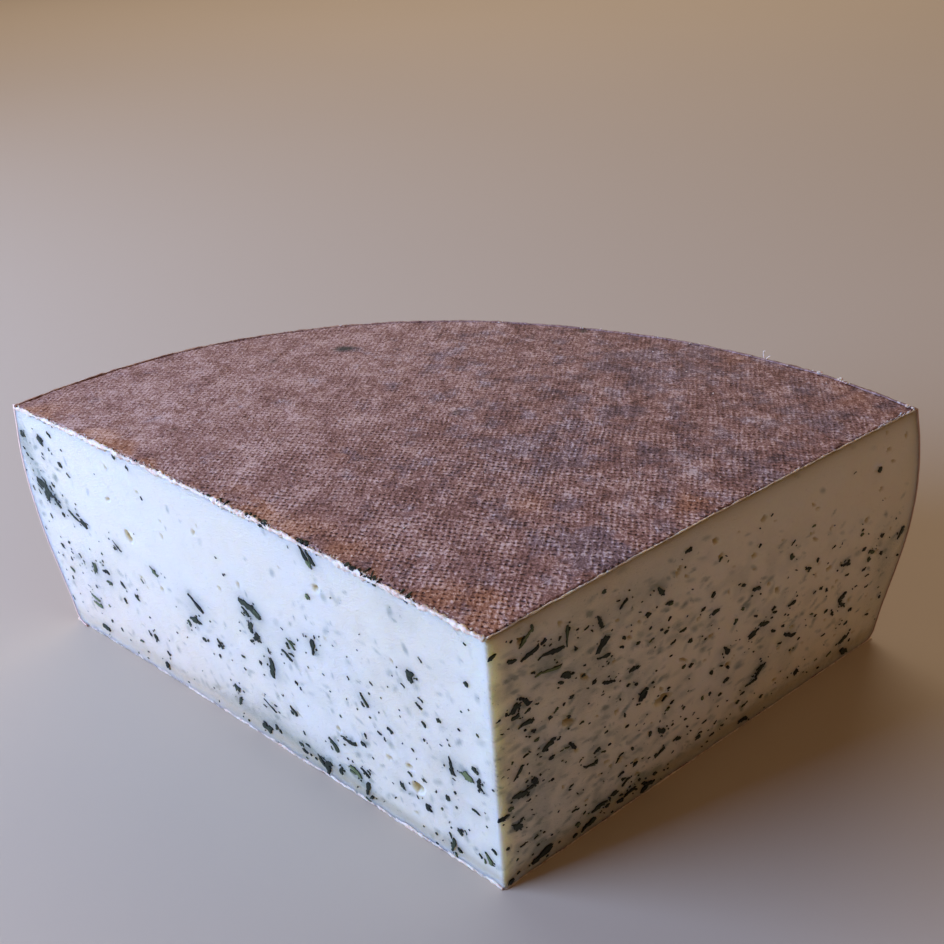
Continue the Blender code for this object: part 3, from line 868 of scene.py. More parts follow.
def cut_haze(side, distance, height, bits, faint):
    """Returns how herb clouds the paste at places of a cut, given in millimetres, with painted shade
    low along the foot.
    """
    haze = np.zeros_like(distance)
    for middle, level, reach, rise, strength in HAZE[side]:
        spread = ((distance - middle) / reach) ** 2 + ((height - level) / rise) ** 2
        haze += strength * np.exp(-spread)
    for middle, level, length in [bit[2:5] for bit in bits if bit[0] == side]:
        reach = 0.45 * length + 0.60
        near = within(distance, height, middle, level, 3.0 * reach)
        far = (distance[near] - middle) ** 2 + (height[near] - level) ** 2
        haze[near] += 0.13 * length ** 0.7 * np.exp(-far / reach ** 2)
    for *row, strength in [bit[1:] for bit in faint if bit[0] == side]:
        near = within(distance, height, *row[:3])
        share = oval_distance(side, distance[near], height[near], row)
        haze[near] += strength * (1.0 - soft_step(0.3, 1.5, share))
    smoke = 0.1 + 1.5 * cloud(distance, height, 5.5, 7) + 0.8 * cloud(distance, height, 2.1, 8)
    thickness = np.vectorize(herb_share)(side, distance, height)
    return haze + HERB_SMOKE[side] * np.clip(smoke, 0, 1) * thickness


def cut_relief(side, distance, height, eyes):
    """Returns the relief in metres, and the eye and foot values, at places of a cut; both values
    also place painted shade in the paste's colour.
    """
    relief, eye = clouds(distance, height, CUT_WAVES), np.zeros_like(distance)
    for row in [each[1:] for each in eyes if each[0] == side]:
        near = within(distance, height, *row[:3])
        share = oval_distance(side, distance[near], height[near], row)
        relief[near] -= EYE_DEPTH * row[3] * np.sqrt(np.clip(1.0 - share ** 2, 0.0, 1.0))
        relief[near] += EYE_RIM * np.exp(-((share - 1.15) / 0.25) ** 2)
        # The eye value also places the eyes' painted shade.
        eye[near] = np.maximum(eye[near], 1.0 - soft_step(0.6, 1.25, share))
    middle, reach, depth = FOOT_HOLLOW
    # The hollow along the foot; the same value places the foot's painted shade and bounce light.
    foot = np.exp(-((height - middle) / reach) ** 2)
    return (relief - depth * foot) * MM, eye, foot


def paste_rings(shares, levels):
    """Returns rings of points up the side: along the left cut, the rim and the right cut."""
    turns, rings = rim_turns(PASTE_COLUMNS["rim"] + 1)[1:-1], []
    for level in levels:
        inset = SKIN + corner_inset(level * WHEEL_HEIGHT)
        flat = np.concatenate([cut_points("left", shares["left"], level, inset),
                               np.array([rim_point(turn, level, inset) for turn in turns]),
                               cut_points("right", shares["right"], level, inset)])
        rings.append(np.column_stack([flat, level * top_height(flat[:, 0], flat[:, 1])]))
    return np.array(rings)


def crown_rings(edge):
    """Returns rings of points over the top, ever closer to its middle."""
    middle, rings = edge.mean(0)[:2], []
    for share in CROWN_RINGS:
        flat = middle + (edge[:, :2] - middle) * share
        lift = top_height(flat[:, 0], flat[:, 1]) - SKIN - CROWN_SINK
        rings.append(np.column_stack([flat, lift]))
    return np.array(rings)


def shape_cut(side, share, levels, points, placed):
    """Lays the relief on the points of one cut; returns its marks and its flat places."""
    bits, faint, eyes = placed
    reach = np.array([cut_length(side, level) for level in levels])[:, None]
    distance = reach * share[None, :] / MM
    height = np.repeat(levels[:, None] * WHEEL_HEIGHT / MM, len(share), 1)
    haze = cut_haze(side, distance, height, bits, faint)
    relief, eye, foot = cut_relief(side, distance, height, eyes)
    under, behind = (WHEEL_HEIGHT - SKIN) / MM - height, reach / MM - distance
    relief *= soft_step(0.3, 1.2, distance) * soft_step(0.2, 1.2, behind)
    relief *= soft_step(0.1, 0.8, under) * soft_step(0.3, 1.0, height)
    inward = np.array([cut_line(side, level)[2] for level in levels])
    points[..., :2] -= relief[..., None] * inward[:, None, :]
    gold = np.exp(-under / 2.4) + 0.35 * np.exp(-under / 0.7) + 0.8 * np.exp(-behind / 1.6)
    border = np.exp(-behind / 0.6) + np.exp(-height / 0.5) + 0.35 * np.exp(-height / 2.0)
    if side == "left":
        # Painted warm bounce light over the lower part of the left cut.
        border += 0.55 * np.exp(-(height / 26.0) ** 2) * soft_step(45.0, 115.0, distance)
    # The sixth mark, fading within 5 mm of the tip, is the painted glow of the tip.
    return np.stack([haze, eye, foot, gold * GOLD_SHARE[side], border, np.exp(-distance / 5.0),
                     distance * MM, height * MM], -1)


def make_paste(placed):
    """Lofts the paste: two finely meshed cuts, the hidden rim, and a crowned top."""
    shares = {"left": np.linspace(0.0, 1.0, PASTE_COLUMNS["left"] + 1),
              "right": np.linspace(0.0, 1.0, PASTE_COLUMNS["right"] + 1)[::-1]}
    spans = {"left": slice(0, len(shares["left"])), "right": slice(-len(shares["right"]), None)}
    levels = np.linspace(SKIN / WHEEL_HEIGHT, 1.0 - SKIN / WHEEL_HEIGHT, PASTE_ROWS)
    side_rings = paste_rings(shares, levels)
    marks = np.zeros((PASTE_ROWS + len(CROWN_RINGS), side_rings.shape[1], len(MARKS) + 2))
    for side, span in spans.items():
        cut = side_rings[:, span]
        marks[:PASTE_ROWS, span] = shape_cut(side, shares[side], levels, cut, placed)
    blunt = (0.5 * (side_rings[:, 1] + side_rings[:, -2]) - side_rings[:, 0]) * TIP_BLUNTING
    side_rings[:, 0] += blunt
    side_rings[:, -1] += blunt
    rings = np.concatenate([side_rings, crown_rings(side_rings[-1])])
    piece, row, column = add_grid("paste", rings)
    for index, name in enumerate(MARKS):
        write_attribute(piece, name, marks[row, column, index])
    write_uv(piece, "cut", marks[row, column, len(MARKS):])
    weld_and_cap(piece, PASTE_WELD)
    finish_piece(piece, paste_finish())


# Rind

def outline_depths(x, y, level, inset):
    """Returns how far points lie inside the left cut, the right cut and the rim."""
    depths = []
    for side in ("left", "right"):
        tip, chord, inward = cut_line(side, level)
        share = ((x - tip.x) * chord.x + (y - tip.y) * chord.y) / chord.length_squared
        bow = CUT_BOW[side] * 4.0 * share * (1.0 - share)
        depths.append((x - tip.x) * inward.x + (y - tip.y) * inward.y - bow)
    turns = rim_turns(201)
    radii = [rim_point(turn, level, inset).length for turn in turns]
    depths.append(np.interp(np.arctan2(x, y), turns, radii) - np.hypot(x, y))
    return depths


def trim_to_outline(piece, step, level, inset, ragged):
    """Cuts a flat grid to the wedge's outline and moves its border vertices onto it."""
    def depths(points):
        x, y = points[:, 0], points[:, 1]
        left, right, rim = outline_depths(x, y, level, inset)
        tear = ragged * (0.5 + 0.5 * cloud(x, y, 0.0011, 31))
        return left - tear, right - tear * 0.5, rim
    near = 0.49 * step
    inside = np.minimum.reduce(depths(read_points(piece))) > -near
    delete_faces(piece, ~inside[corner_vertices(piece).reshape(-1, 4)].all(1))
    points = read_points(piece)
    ways = [np.array(cut_line(side, level)[2]) for side in ("left", "right")]
    for _ in range(3):
        for index in range(3):
            depth = depths(points)[index]
            moved = abs(depth) < near
            flat = points[moved, :2]
            way = ways[index] if index < 2 else -flat / np.hypot(*flat.T)[:, None]
            points[moved, :2] = flat - way * depth[moved][:, None]
    write_points(piece, points)


def thread_grid(name, step, level, inset, ragged=0.0):
    """Adds a grid along the cloth's threads, trimmed to the wedge, and its thread places."""
    turn = np.array([[math.cos(THREAD_TURN), math.sin(THREAD_TURN)],
                     [-math.sin(THREAD_TURN), math.cos(THREAD_TURN)]])
    outline = [TIP_TOP, TIP_FOOT] + [rim_point(each, 0.5) for each in rim_turns(61)]
    edge = np.array(outline) @ turn.T
    low = np.floor(edge.min(0) / THREAD_PITCH - 2) * THREAD_PITCH
    counts = np.ceil((edge.max(0) + 2.0 * THREAD_PITCH - low) / step).astype(int)
    across, up = np.meshgrid(*[low[axis] + step * np.arange(counts[axis]) for axis in range(2)])
    creep = CLOTH_CREEP * THREAD_PITCH
    moved = np.stack([across + creep * cloud(across, up, CLOTH_CREEP_REACH, 11),
                      up + creep * cloud(across, up, CLOTH_CREEP_REACH, 12)], -1)
    piece, row, column = add_grid(name, np.pad(moved @ turn, ((0, 0), (0, 0), (0, 1))))
    threads = np.stack([across, up], -1)[row, column] / THREAD_PITCH
    write_uv(piece, "cloth", threads)
    write_attribute(piece, "thread_u", threads[:, 0])
    write_attribute(piece, "thread_v", threads[:, 1])
    trim_to_outline(piece, step, level, inset, ragged)
    return piece


def cloth_pits(u, v):
    """Returns how deep the cloth has pressed at thread places, from 0 to 1."""
    wave_u, wave_v = np.sin(math.pi * u), np.sin(math.pi * v)
    wide, high = abs(wave_u), abs(wave_v)
    return np.where(wave_u * wave_v > 0.0, wide ** 0.7 * high ** 1.8, wide ** 1.8 * high ** 0.7)


# Patches of the top, in millimetres of the wheel: x, y, reach, strength
BLOOM_PATCHES = ((32, 64, 9, 0.55), (35, 32, 7, 0.9), (41, 27, 5, 1.0), (-3, 65, 8, 0.4),
                 (-17, 131, 4, 0.9), (14, 26, 4, 0.4), (8, 118, 9, 0.35), (60, 62, 9, 0.5),
                 (48, 90, 12, 0.4), (76, 60, 9, 0.5), (96, 78, 9, 0.4), (66, 112, 14, 0.5),
                 (22, 80, 16, 0.25), (90, 92, 12, 0.35))
WARM_PATCHES = ((-96, 101, 6, 0.9), (15, 13, 7, 0.7), (-8, 30, 6, 0.5), (-30, 50, 5, 0.4),
                (28, 49, 6, 0.5), (60, 45, 5, 0.4), (112, 92, 10, 0.5), (85, 112, 8, 0.4))
# Broad pale patches at the left and back: paler rind and painted sheen; the small ones are scuffs
# and specks.
PALE_AND_SHEEN_PATCHES = ((-60, 100, 45, 0.9), (-80, 100, 26, 0.5), (0, 138, 30, 0.6), (-20, 120, 40, 0.4),
                (-35, 62, 18, 0.5), (70, 55, 8, 0.3), (61.0, 56.2, 1.4, 2.2), (63.6, 57.6, 1.6, 2.6),
                (66.6, 59.4, 1.5, 2.4), (-2.0, 101.0, 1.4, 1.4), (20.0, 121.0, 1.3, 1.5),
                (44.0, 118.0, 1.2, 1.4), (96.0, 95.0, 1.2, 1.5), (84.0, 70.0, 1.2, 1.3))
STAIN_SPOTS = ((-19.5, 131.5, 1.6, 0.9), (-17, 131, 1.2, 0.7), (-38, 125, 1.0, 0.5),
               (49.3, 136.5, 1.3, 0.9), (12, 89, 1.0, 0.6), (50, 52, 1.1, 0.5),
               (-57, 88, 0.9, 0.6))


def patches(x, y, rows, wobble=0.0):
    """Returns the sum of soft patches at points, their edges wandering by a share."""
    total = np.zeros_like(x)
    wander = wobble * cloud(x, y, 0.005, 41)
    for middle, level, reach, strength in rows:
        far = np.hypot(x - middle * MM, y - level * MM) / (reach * MM)
        total += strength * np.exp(-np.clip(far + wander, 0.0, None) ** 2)
    return total


def press_share(x, y):
    """Returns how clearly the cloth printed over the top: best near the tip."""
    return 1.0 - 0.5 * soft_step(0.045, 0.120, np.hypot(x - TIP_TOP.x, y - TIP_TOP.y))


def mark_rind(piece, edge, press=None):
    """Stores what tints the rind: patches, among them painted sheen, the warm border of the left
    cut, and cut edges.
    """
    points = read_points(piece)
    x, y = points[:, 0], points[:, 1]
    left = outline_depths(x, y, 1.0, 0.0)[0]
    border = np.exp(-np.clip(left, 0.0, None) / 0.005) * (0.55 + 0.9 * cloud(x, y, 0.006, 42))
    write_attribute(piece, "warm", border + patches(x, y, WARM_PATCHES, 0.3))
    write_attribute(piece, "bloom", patches(x, y, BLOOM_PATCHES, 0.4))
    write_attribute(piece, "pale", patches(x, y, PALE_AND_SHEEN_PATCHES, 0.3))
    write_attribute(piece, "west", soft_step(0.03, -0.03, x))
    write_attribute(piece, "stain", np.clip(patches(x, y, STAIN_SPOTS, 0.6), 0.0, 1.0))
    write_attribute(piece, "edge", edge)
    write_attribute(piece, "press", np.ones(len(points)) if press is None else press)


# Unevenness of the rind in metres: of the top, of the foot and of the side
TOP_ROUGH = ((0.00005, 0.0008, 23), (0.00010, 0.0035, 24))
FOOT_ROUGH = ((0.00005, 0.006, 25),)
SIDE_ROUGH = ((0.00012, 0.0026, 51), (0.00018, 0.014, 52))


def make_rind_top():
    """Makes the top rind: a sheet on the crown, printed by the cloth, with a torn border."""
    piece = thread_grid("rind_top", THREAD_PITCH / 2.0, 1.0, TOP_INSET, TOP_TEAR)
    points = read_points(piece)
    x, y = points[:, 0], points[:, 1]
    inner = np.minimum.reduce(outline_depths(x, y, 1.0, TOP_INSET))
    swell = np.array([noise.noise(Vector((a, b, 0.0)) / SWELL_REACH) for a, b in zip(x, y)])
    ground = top_height(x, y) + SWELL * swell * soft_step(0.0, 0.05, inner) * 0.8
    depth = 0.58 + 0.50 * cloud(x, y, 0.0013, 21) + 0.30 * cloud(x, y, 0.009, 22)
    depth = np.clip(depth, 0.0, 1.0) * press_share(x, y)
    pits = cloth_pits(read_attribute(piece, "thread_u"), read_attribute(piece, "thread_v"))
    points[:, 2] = ground - TOP_SINK - PRINT_DEPTH * depth * pits + clouds(x, y, TOP_ROUGH)
    write_points(piece, points)
    close_slab(piece, -RIND_DEPTH)
    spots = read_points(piece)
    underside = np.arange(len(spots)) >= len(points)
    mark_rind(piece, underside, press_share(spots[:, 0], spots[:, 1]))
    finish_piece(piece, rind_finish("washed rind"))


def make_rind_foot():
    """Makes the rind under the foot: flat, faintly printed, thick upwards."""
    piece = thread_grid("rind_foot", FOOT_STEP, 0.0, FOOT_INSET)
    points = read_points(piece)
    points[:, 2] = FOOT_LIFT + clouds(points[:, 0], points[:, 1], FOOT_ROUGH)
    write_points(piece, points)
    close_slab(piece, RIND_DEPTH)
    mark_rind(piece, np.zeros(len(piece.data.vertices)))
    finish_piece(piece, rind_finish("foot rind", 0.8))


def rim_profile():
    """Returns the rim's profile as rows of level and inset, from foot to top."""
    rows = [(0.0, FOOT_ROUND + 0.0016), (0.0, FOOT_ROUND + 0.0008)]
    foot, top = FOOT_ROUND / WHEEL_HEIGHT, TOP_ROUND / WHEEL_HEIGHT
    for bend in np.radians(np.linspace(0.0, 90.0, 7)):
        rows.append((foot * (1.0 - math.cos(bend)), FOOT_ROUND * (1.0 - math.sin(bend))))
    rows += [(level, 0.0) for level in np.linspace(foot, 1.0 - top, 80)[1:-1]]
    for bend in np.radians(np.linspace(0.0, 90.0, 6)):
        rows.append((1.0 - top * (1.0 - math.sin(bend)), TOP_ROUND * (1.0 - math.cos(bend))))
    rows += [(1.0, TOP_ROUND + 0.0003), (1.0 - 0.0003 / WHEEL_HEIGHT, TOP_ROUND + 0.0005),
             (1.0 - 0.0009 / WHEEL_HEIGHT, TOP_ROUND + 0.0006)]
    return rows


def roughen_side(points, around, up):
    """Lays lumps on the side's points and waves the bead of its rolled top edge."""
    lumps = clouds(around, up, SIDE_ROUGH)
    lumps = np.where(lumps > 0.0, lumps * 0.3, lumps) * soft_step(0.004, 0.008, up)
    size = np.hypot(points[..., 0], points[..., 1])
    points[..., :2] *= ((size + lumps) / size)[..., None]
    bead = slice(-9, -1)
    points[bead, :, 2] += 0.00010 + 0.00013 * cloud(around[bead], up[bead], 0.0019, 53)
    points[bead, :, 2] += 0.00010 * cloud(around[bead], up[bead], 0.0007, 54)


def turn_faces_out(piece):
    """Makes an open sheet of the rim look away from the wheel's axis."""
    in_edit(piece, ALL, TURN_OUT)
    face = piece.data.polygons[len(piece.data.polygons) // 2]
    if face.normal.dot(Vector((face.center.x, face.center.y, 0.0))) < 0.0:
        in_edit(piece, ALL, (MESH.flip_normals, {}))


def make_rind_side():
    """Makes the barrel-shaped side: a profile laid round the rim, with a rolled top edge."""
    turns, rows, points = rim_turns(RIM_STEPS, SIDE_PROUD / RIM_RADII[0]), rim_profile(), []
    for level, inset in rows:
        spots = [rim_point(turn, level, inset) for turn in turns]
        points.append([(*spot, level * top_height(*spot)) for spot in spots])
    points = np.array(points)
    profile = [Vector((float(np.polyval(RIM_CURVE, level)) - inset, level * WHEEL_HEIGHT))
               for level, inset in rows]
    runs = np.cumsum([0.0] + [(end - start).length for start, end in zip(profile, profile[1:])])
    threads = np.stack(np.meshgrid(turns * RIM_RADII[0], runs), -1) / THREAD_PITCH
    roughen_side(points, threads[..., 0] * THREAD_PITCH, threads[..., 1] * THREAD_PITCH)
    roll = np.zeros(points.shape[:2])
    for row, (level, _) in enumerate(rows):
        roll[row] = 0.85 * math.exp(-max(WHEEL_HEIGHT * (1.0 - level) - 0.0003, 0.0) / 0.0005)
    roll[:, (0, -1)] = 1.0
    piece, row, column = add_grid("rind_side", points)
    write_uv(piece, "cloth", threads[row, column])
    mark_rind(piece, roll[row, column])
    turn_faces_out(piece)
    thicken = piece.modifiers.new("thicken", "SOLIDIFY")
    thicken.thickness = RIND_DEPTH
    thicken.offset = -1.0
    bpy.ops.object.modifier_apply(modifier=thicken.name)
    finish_piece(piece, rind_finish("rim rind", 0.6))


# Herb bits

# Patterns of leaf bits: how many, how many of them are chunks, their corners, their thickness
# below the border, the width of the border, and how far the heart is raised
BIT_PATTERNS = 18
CHUNKS = 9
BIT_CORNERS = 18
BIT_ROOT = 0.65
BIT_BORDER = 0.07
BIT_HEART = 0.10


def unit_box(outline):
    """Returns an outline shifted and stretched to fill a square of one unit."""
    outline = np.array(outline)
    low, high = outline.min(0), outline.max(0)
    return (outline - (low + high) / 2.0) / (high - low)


def chunk_outline(draw):
    """Returns the outline of a torn chunk of leaf: a lumpy round with notches and points."""
    start, outline = draw.uniform(0.0, math.tau), []
    waves = [(order, draw.uniform(0.0, math.tau), draw.uniform(0.1, 0.55) / order)
             for order in (1, 2, 3, 5)]
    for index in range(BIT_CORNERS):
        turn = math.tau * index / BIT_CORNERS
        reach = 1.0 + sum(size * math.sin(order * turn + phase) for order, phase, size in waves)
        reach *= draw.uniform(0.62, 1.12)
        outline.append((reach * math.cos(start + turn), reach * math.sin(start + turn)))
    return unit_box(outline)


def shred_outline(draw):
    """Returns the outline of a torn shred: a wavy ribbon with ragged, tapering sides."""
    half, outline = BIT_CORNERS // 2, []
    fall, lean = draw.uniform(1.5, 5.0), draw.uniform(-0.6, 0.6)
    bend, wave, start = draw.uniform(-0.3, 0.3), draw.uniform(0.0, 0.14), draw.uniform(0.0, 6.3)
    for way in (1.0, -1.0):
        for index in range(half):
            run = way * (2.0 * (index + 0.5) / half - 1.0)
            width = (1.0 - abs(run) ** fall) ** 0.5 * (1.0 + lean * run)
            width *= draw.uniform(0.35, 1.0)
            spine = bend * run * run + wave * math.sin(start + 3.0 * run)
            outline.append((run + draw.uniform(-0.05, 0.05), spine - way * 0.5 * width))
    return unit_box(outline)


def model_bit(index, draw):
    """Models one leaf bit one unit long and wide: ragged, with a raised heart."""
    piece = new_object(MESH.primitive_circle_add, vertices=BIT_CORNERS, radius=0.5,
                       fill_type="NGON")
    points = read_points(piece)
    points[:, :2] = chunk_outline(draw) if index < CHUNKS else shred_outline(draw)
    write_points(piece, points)
    in_edit(piece, ALL, TURN_OUT, (MESH.inset, {"thickness": BIT_BORDER}),
            (bpy.ops.transform.translate, {"value": (0.0, 0.0, BIT_HEART)}))
    points = read_points(piece)
    raised = points[:, 2] > 0.01
    points[raised, 2] += np.array([draw.uniform(-0.06, 0.12) for _ in range(int(raised.sum()))])
    write_points(piece, points)
    close_slab(piece, -BIT_ROOT, (MESH.quads_convert_to_tris, {}))
    return piece


def take_shapes(patterns):
    """Returns the points and the triangles of patterns, and removes the patterns."""
    shapes = []
    for pattern in patterns:
        tris = np.array([list(face.vertices) for face in pattern.data.polygons])
        shapes.append((read_points(pattern), tris))
        bpy.data.objects.remove(pattern)
    return shapes


def scatter(name, shapes, places):
    """Joins copies of shapes, each stretched and set by its place, into one piece.

    A place is the shape's number, a 3 by 3 stretch, a point and the copy's tone.
    """
    points, faces, tones, hearts, count = [], [], [], [], 0
    for number, stretch, point, tone in places:
        base, tris = shapes[number]
        tris = tris if np.linalg.det(stretch) > 0.0 else tris[:, ::-1]
        points.append(base @ stretch.T + point)
        faces.append(tris + count)
        count += len(base)
        tones.append(np.full(len(base), tone))
        hearts.append(soft_step(0.02, 0.12, base[:, 2]))
    mesh = bpy.data.meshes.new(name)
    mesh.from_pydata(np.concatenate(points).tolist(), [], np.concatenate(faces).tolist())
    piece = link_object(name, mesh)
    write_attribute(piece, "tone", np.concatenate(tones))
    write_attribute(piece, "heart", np.concatenate(hearts))
    return piece


# Bits of leaf: how far they stand off the cut, their thickness as a share of their length,
# and how much larger they are made than they are listed, along and across
BIT_LIFT = 0.00012
BIT_RISE = 0.28
BIT_LONGER = 1.05
BIT_WIDER = 1.1


def bit_place(draw, side, distance, height, length, width, slant):
    """Returns a scatter place for a bit of herb on a cut, measured in millimetres."""
    point, along, up, out = cut_frame(side, distance * MM, height * MM)
    turn = slant_turn(side, slant)
    long_way = along * math.cos(turn) + up * math.sin(turn)
    wide_way = up * math.cos(turn) - along * math.sin(turn)
    flip = draw.choice((-1.0, 1.0))
    thick = min(max(length, 1.0), 2.0) * BIT_RISE
    length, width = length * BIT_LONGER, width * BIT_WIDER
    shape = np.array([long_way * length, wide_way * width * flip, out * thick]).T * MM
    slim = width <= 0.55 * length
    number = draw.randrange(CHUNKS, BIT_PATTERNS) if slim else draw.randrange(CHUNKS)
    return (number, shape, np.array(point + out * BIT_LIFT), draw.random())


def make_herb(bits, draw):
    """Makes the dark and the lush bits of herb that show on the cuts."""
    shapes = take_shapes([model_bit(index, draw) for index in range(BIT_PATTERNS)])
    finishes = {kind: herb_finish(*row) for kind, row in LEAF.items()}
    for kind, finish in finishes.items():
        places = [bit_place(draw, bit[0], *bit[2:]) for bit in bits if bit[1] == kind]
        places += over_edge_places(draw) if kind == "dark" else []
        finish_piece(scatter(f"herb_{kind}", shapes, places), finish, smooth=False)


# Bits that hang over the left cut's top edge: distance along it, length and width
OVER_EDGE = ((19.2, 2.4, 1.0), (27.4, 1.8, 1.2), (28.7, 3.4, 0.8), (29.8, 2.2, 1.0),
             (33.5, 1.8, 1.6), (46.8, 1.8, 1.4), (48.6, 1.4, 0.9), (59.2, 2.2, 1.8),
             (60.6, 1.8, 1.2), (64.2, 1.8, 1.2), (72.8, 2.6, 0.8), (77.0, 0.9, 0.7),
             (104.0, 0.8, 0.6))


def over_edge_places(draw):
    """Returns scatter places for the bits that hang over the left cut's top edge."""
    places = []
    _, chord, inward = cut_line("left", 1.0)
    for distance, length, width in OVER_EDGE:
        for _ in range(draw.choice((2, 3, 3))):
            reach = length * draw.uniform(0.4, 0.9)
            aside = draw.gauss(0.0, 0.35) * length
            spot = cut_points("left", [(distance + aside) * MM / chord.length], 1.0)[0]
            lean = Vector((inward.x + draw.uniform(-0.9, 0.9), inward.y, 0.05)).normalized()
            flat = lean.cross(Vector((0.0, 0.0, 1.0))).normalized()
            point = np.array([*spot, top_height(*spot)]) + np.array(lean) * reach * MM * 0.3
            wide = flat * width * draw.uniform(0.4, 0.8)
            shape = np.array([lean * reach, wide, flat.cross(lean) * 0.5]).T * MM
            places.append((draw.randrange(BIT_PATTERNS), shape, point, draw.random()))
        below = WHEEL_HEIGHT / MM - draw.uniform(0.5, 1.1)
        slant = draw.uniform(0.0, 40.0)
        places.append(bit_place(draw, "left", distance, below, width, length * 0.8, slant))
    return places


# Crumbs along the top edges: how many, the cut, the share of its length where they start and
# end, and the smallest and largest in millimetres
EDGE_CRUMBS = ((330, "left", 0.0, 1.0, 0.2, 0.65), (60, "right", 0.88, 1.0, 0.2, 0.6),
               (60, "right", 0.0, 0.9, 0.15, 0.35))
CRUMB_PATTERNS = 5
CRUMB_SINK = 0.0001
TOP_SPECKS = 110

# Flakes on the rim: turn in degrees and size in millimetres
RIM_FLAKES = ((45.9, 2.0), (48.3, 2.2), (49.0, 1.0), (42.6, 0.7), (31.8, 0.8), (28.0, 0.7),
              (19.6, 1.0), (10.2, 0.8), (-8.0, 0.8), (38.5, 0.6), (55.2, 1.4), (54.4, 1.1),
              (55.7, 1.0))


def model_crumb(draw):
    """Models one crumb one unit wide: a small lumpy ball."""
    piece = new_object(MESH.primitive_ico_sphere_add, subdivisions=2, radius=0.5)
    shares = [draw.uniform(0.45, 1.15) for _ in piece.data.vertices]
    write_points(piece, read_points(piece) * np.array(shares)[:, None])
    return piece


def crumb_place(draw, spot, high, size, flat=0.6):
    """Returns a scatter place for a crumb: a point of the top, its height and its size."""
    turn = Matrix.Rotation(draw.uniform(0.0, math.tau), 3, "Z") @ Matrix.Rotation(
        draw.uniform(-0.5, 0.5), 3, "X")
    stretch = Matrix.Diagonal((1.0, draw.uniform(0.5, 1.0), flat * draw.uniform(0.7, 1.2)))
    shape = np.array(turn @ stretch) * size * MM
    return (draw.randrange(CRUMB_PATTERNS), shape, np.array([*spot, high]), draw.random())


def edge_crumbs(draw):
    """Returns scatter places for the crumbs along the top edges of the cuts."""
    places = []
    for count, side, near, far, smallest, largest in EDGE_CRUMBS:
        for _ in range(count):
            spot = cut_points(side, [near + (far - near) * draw.random()], 1.0)[0]
            size = smallest + (largest - smallest) * draw.random() ** 2.0
            spot = spot + np.array(cut_line(side, 1.0)[2]) * abs(draw.gauss(0.0, 0.35)) * MM
            places.append(crumb_place(draw, spot, top_height(*spot) - CRUMB_SINK, size))
    return places


def top_specks(draw):
    """Returns scatter places for the specks that lie on the top."""
    places = []
    while len(places) < TOP_SPECKS:
        x, y = draw.uniform(-0.095, 0.13), draw.uniform(0.01, 0.15)
        if min(outline_depths(x, y, 1.0, 0.003)) > 0.0:
            size = 0.2 + 0.35 * draw.random() ** 2.0
            places.append(crumb_place(draw, (x, y), top_height(x, y) - CRUMB_SINK, size))
    return places


def rim_flakes(draw):
    """Returns scatter places for the flakes on the rim, each in three parts."""
    places = []
    for degrees, size in RIM_FLAKES:
        for share in (1.0, 0.6, 0.45):
            turn = math.radians(degrees + draw.uniform(-0.25, 0.25))
            spot = np.array(rim_point(turn, 1.0, draw.uniform(0.0012, 0.0020)))
            high = top_height(*spot) + size * MM * 0.25
            places.append(crumb_place(draw, spot, high, size * share, 0.35))
    return places


def make_crumbs(draw):
    """Makes the pale crumbs of the torn edges, of the top and of the rim."""
    shapes = take_shapes([model_crumb(draw) for _ in range(CRUMB_PATTERNS)])
    places = edge_crumbs(draw) + top_specks(draw) + rim_flakes(draw)
    finish_piece(scatter("crumbs", shapes, places), lip_finish(), smooth=False)


# Loose fibres on the rim: turn, rise, lean along the rim, hook of the end, and thickness
FIBRES = ((39.9, 2.5, 0.1, 2.4, 0.30), (40.0, 1.4, 1.3, 0.8, 0.24), (33.0, 0.9, -0.6, 0.6, 0.20),
          (44.8, 0.8, 0.8, -0.6, 0.20), (21.5, 0.7, 0.7, 0.6, 0.18))


def model_fibre(degrees, rise, lean, hook, thickness):
    """Models one loose fibre: a thin bent tube that stands on the rim."""
    turn = math.radians(degrees)
    foot = rim_point(turn, 1.0, 0.0009).to_3d()
    foot.z = top_height(foot.x, foot.y) - 0.0003
    around, up = Vector((math.cos(turn), -math.sin(turn), 0.0)), Vector((0.0, 0.0, rise * MM))
    way, bend = around * lean * MM + up, around * hook * 0.5 * MM
    tube = new_object(bpy.ops.curve.primitive_bezier_curve_add)
    tube.data.bevel_depth = thickness * MM / 2.0
    tube.data.bevel_resolution = 1
    tube.data.use_fill_caps = True
    start, end = tube.data.splines[0].bezier_points
    start.co, end.co = foot, foot + way
    start.handle_left, start.handle_right = foot - way * 0.2, foot + up * 0.5
    end.handle_left, end.handle_right = end.co - bend, end.co + bend
    bpy.ops.object.convert(target="MESH")
    return bpy.context.object


def make_fibres():
    """Makes the few loose fibres that stand up from the rim, joined into one piece."""
    for tube in [model_fibre(*row) for row in FIBRES]:
        tube.select_set(True)
    bpy.ops.object.join()
    piece = bpy.context.object
    piece.name = piece.data.name = "fibres"
    in_edit(piece, ALL, TURN_OUT)
    finish_piece(piece, lip_finish())


# Torn lips along the edges of the cuts

# Name, cut, level, how far the bead's middle lies under the edge, its size, how ragged it is,
# and the number that seeds its lumps
LIPS = (("lip_left_top", "left", 1.0, 0.00070, 0.00058, 0.90, 61),
        ("lip_right_top", "right", 1.0, 0.00026, 0.00017, 0.90, 63),
        ("lip_left_foot", "left", 0.0, -0.00048, 0.00044, 0.85, 65),
        ("lip_right_foot", "right", 0.0, -0.00025, 0.00022, 0.80, 67))


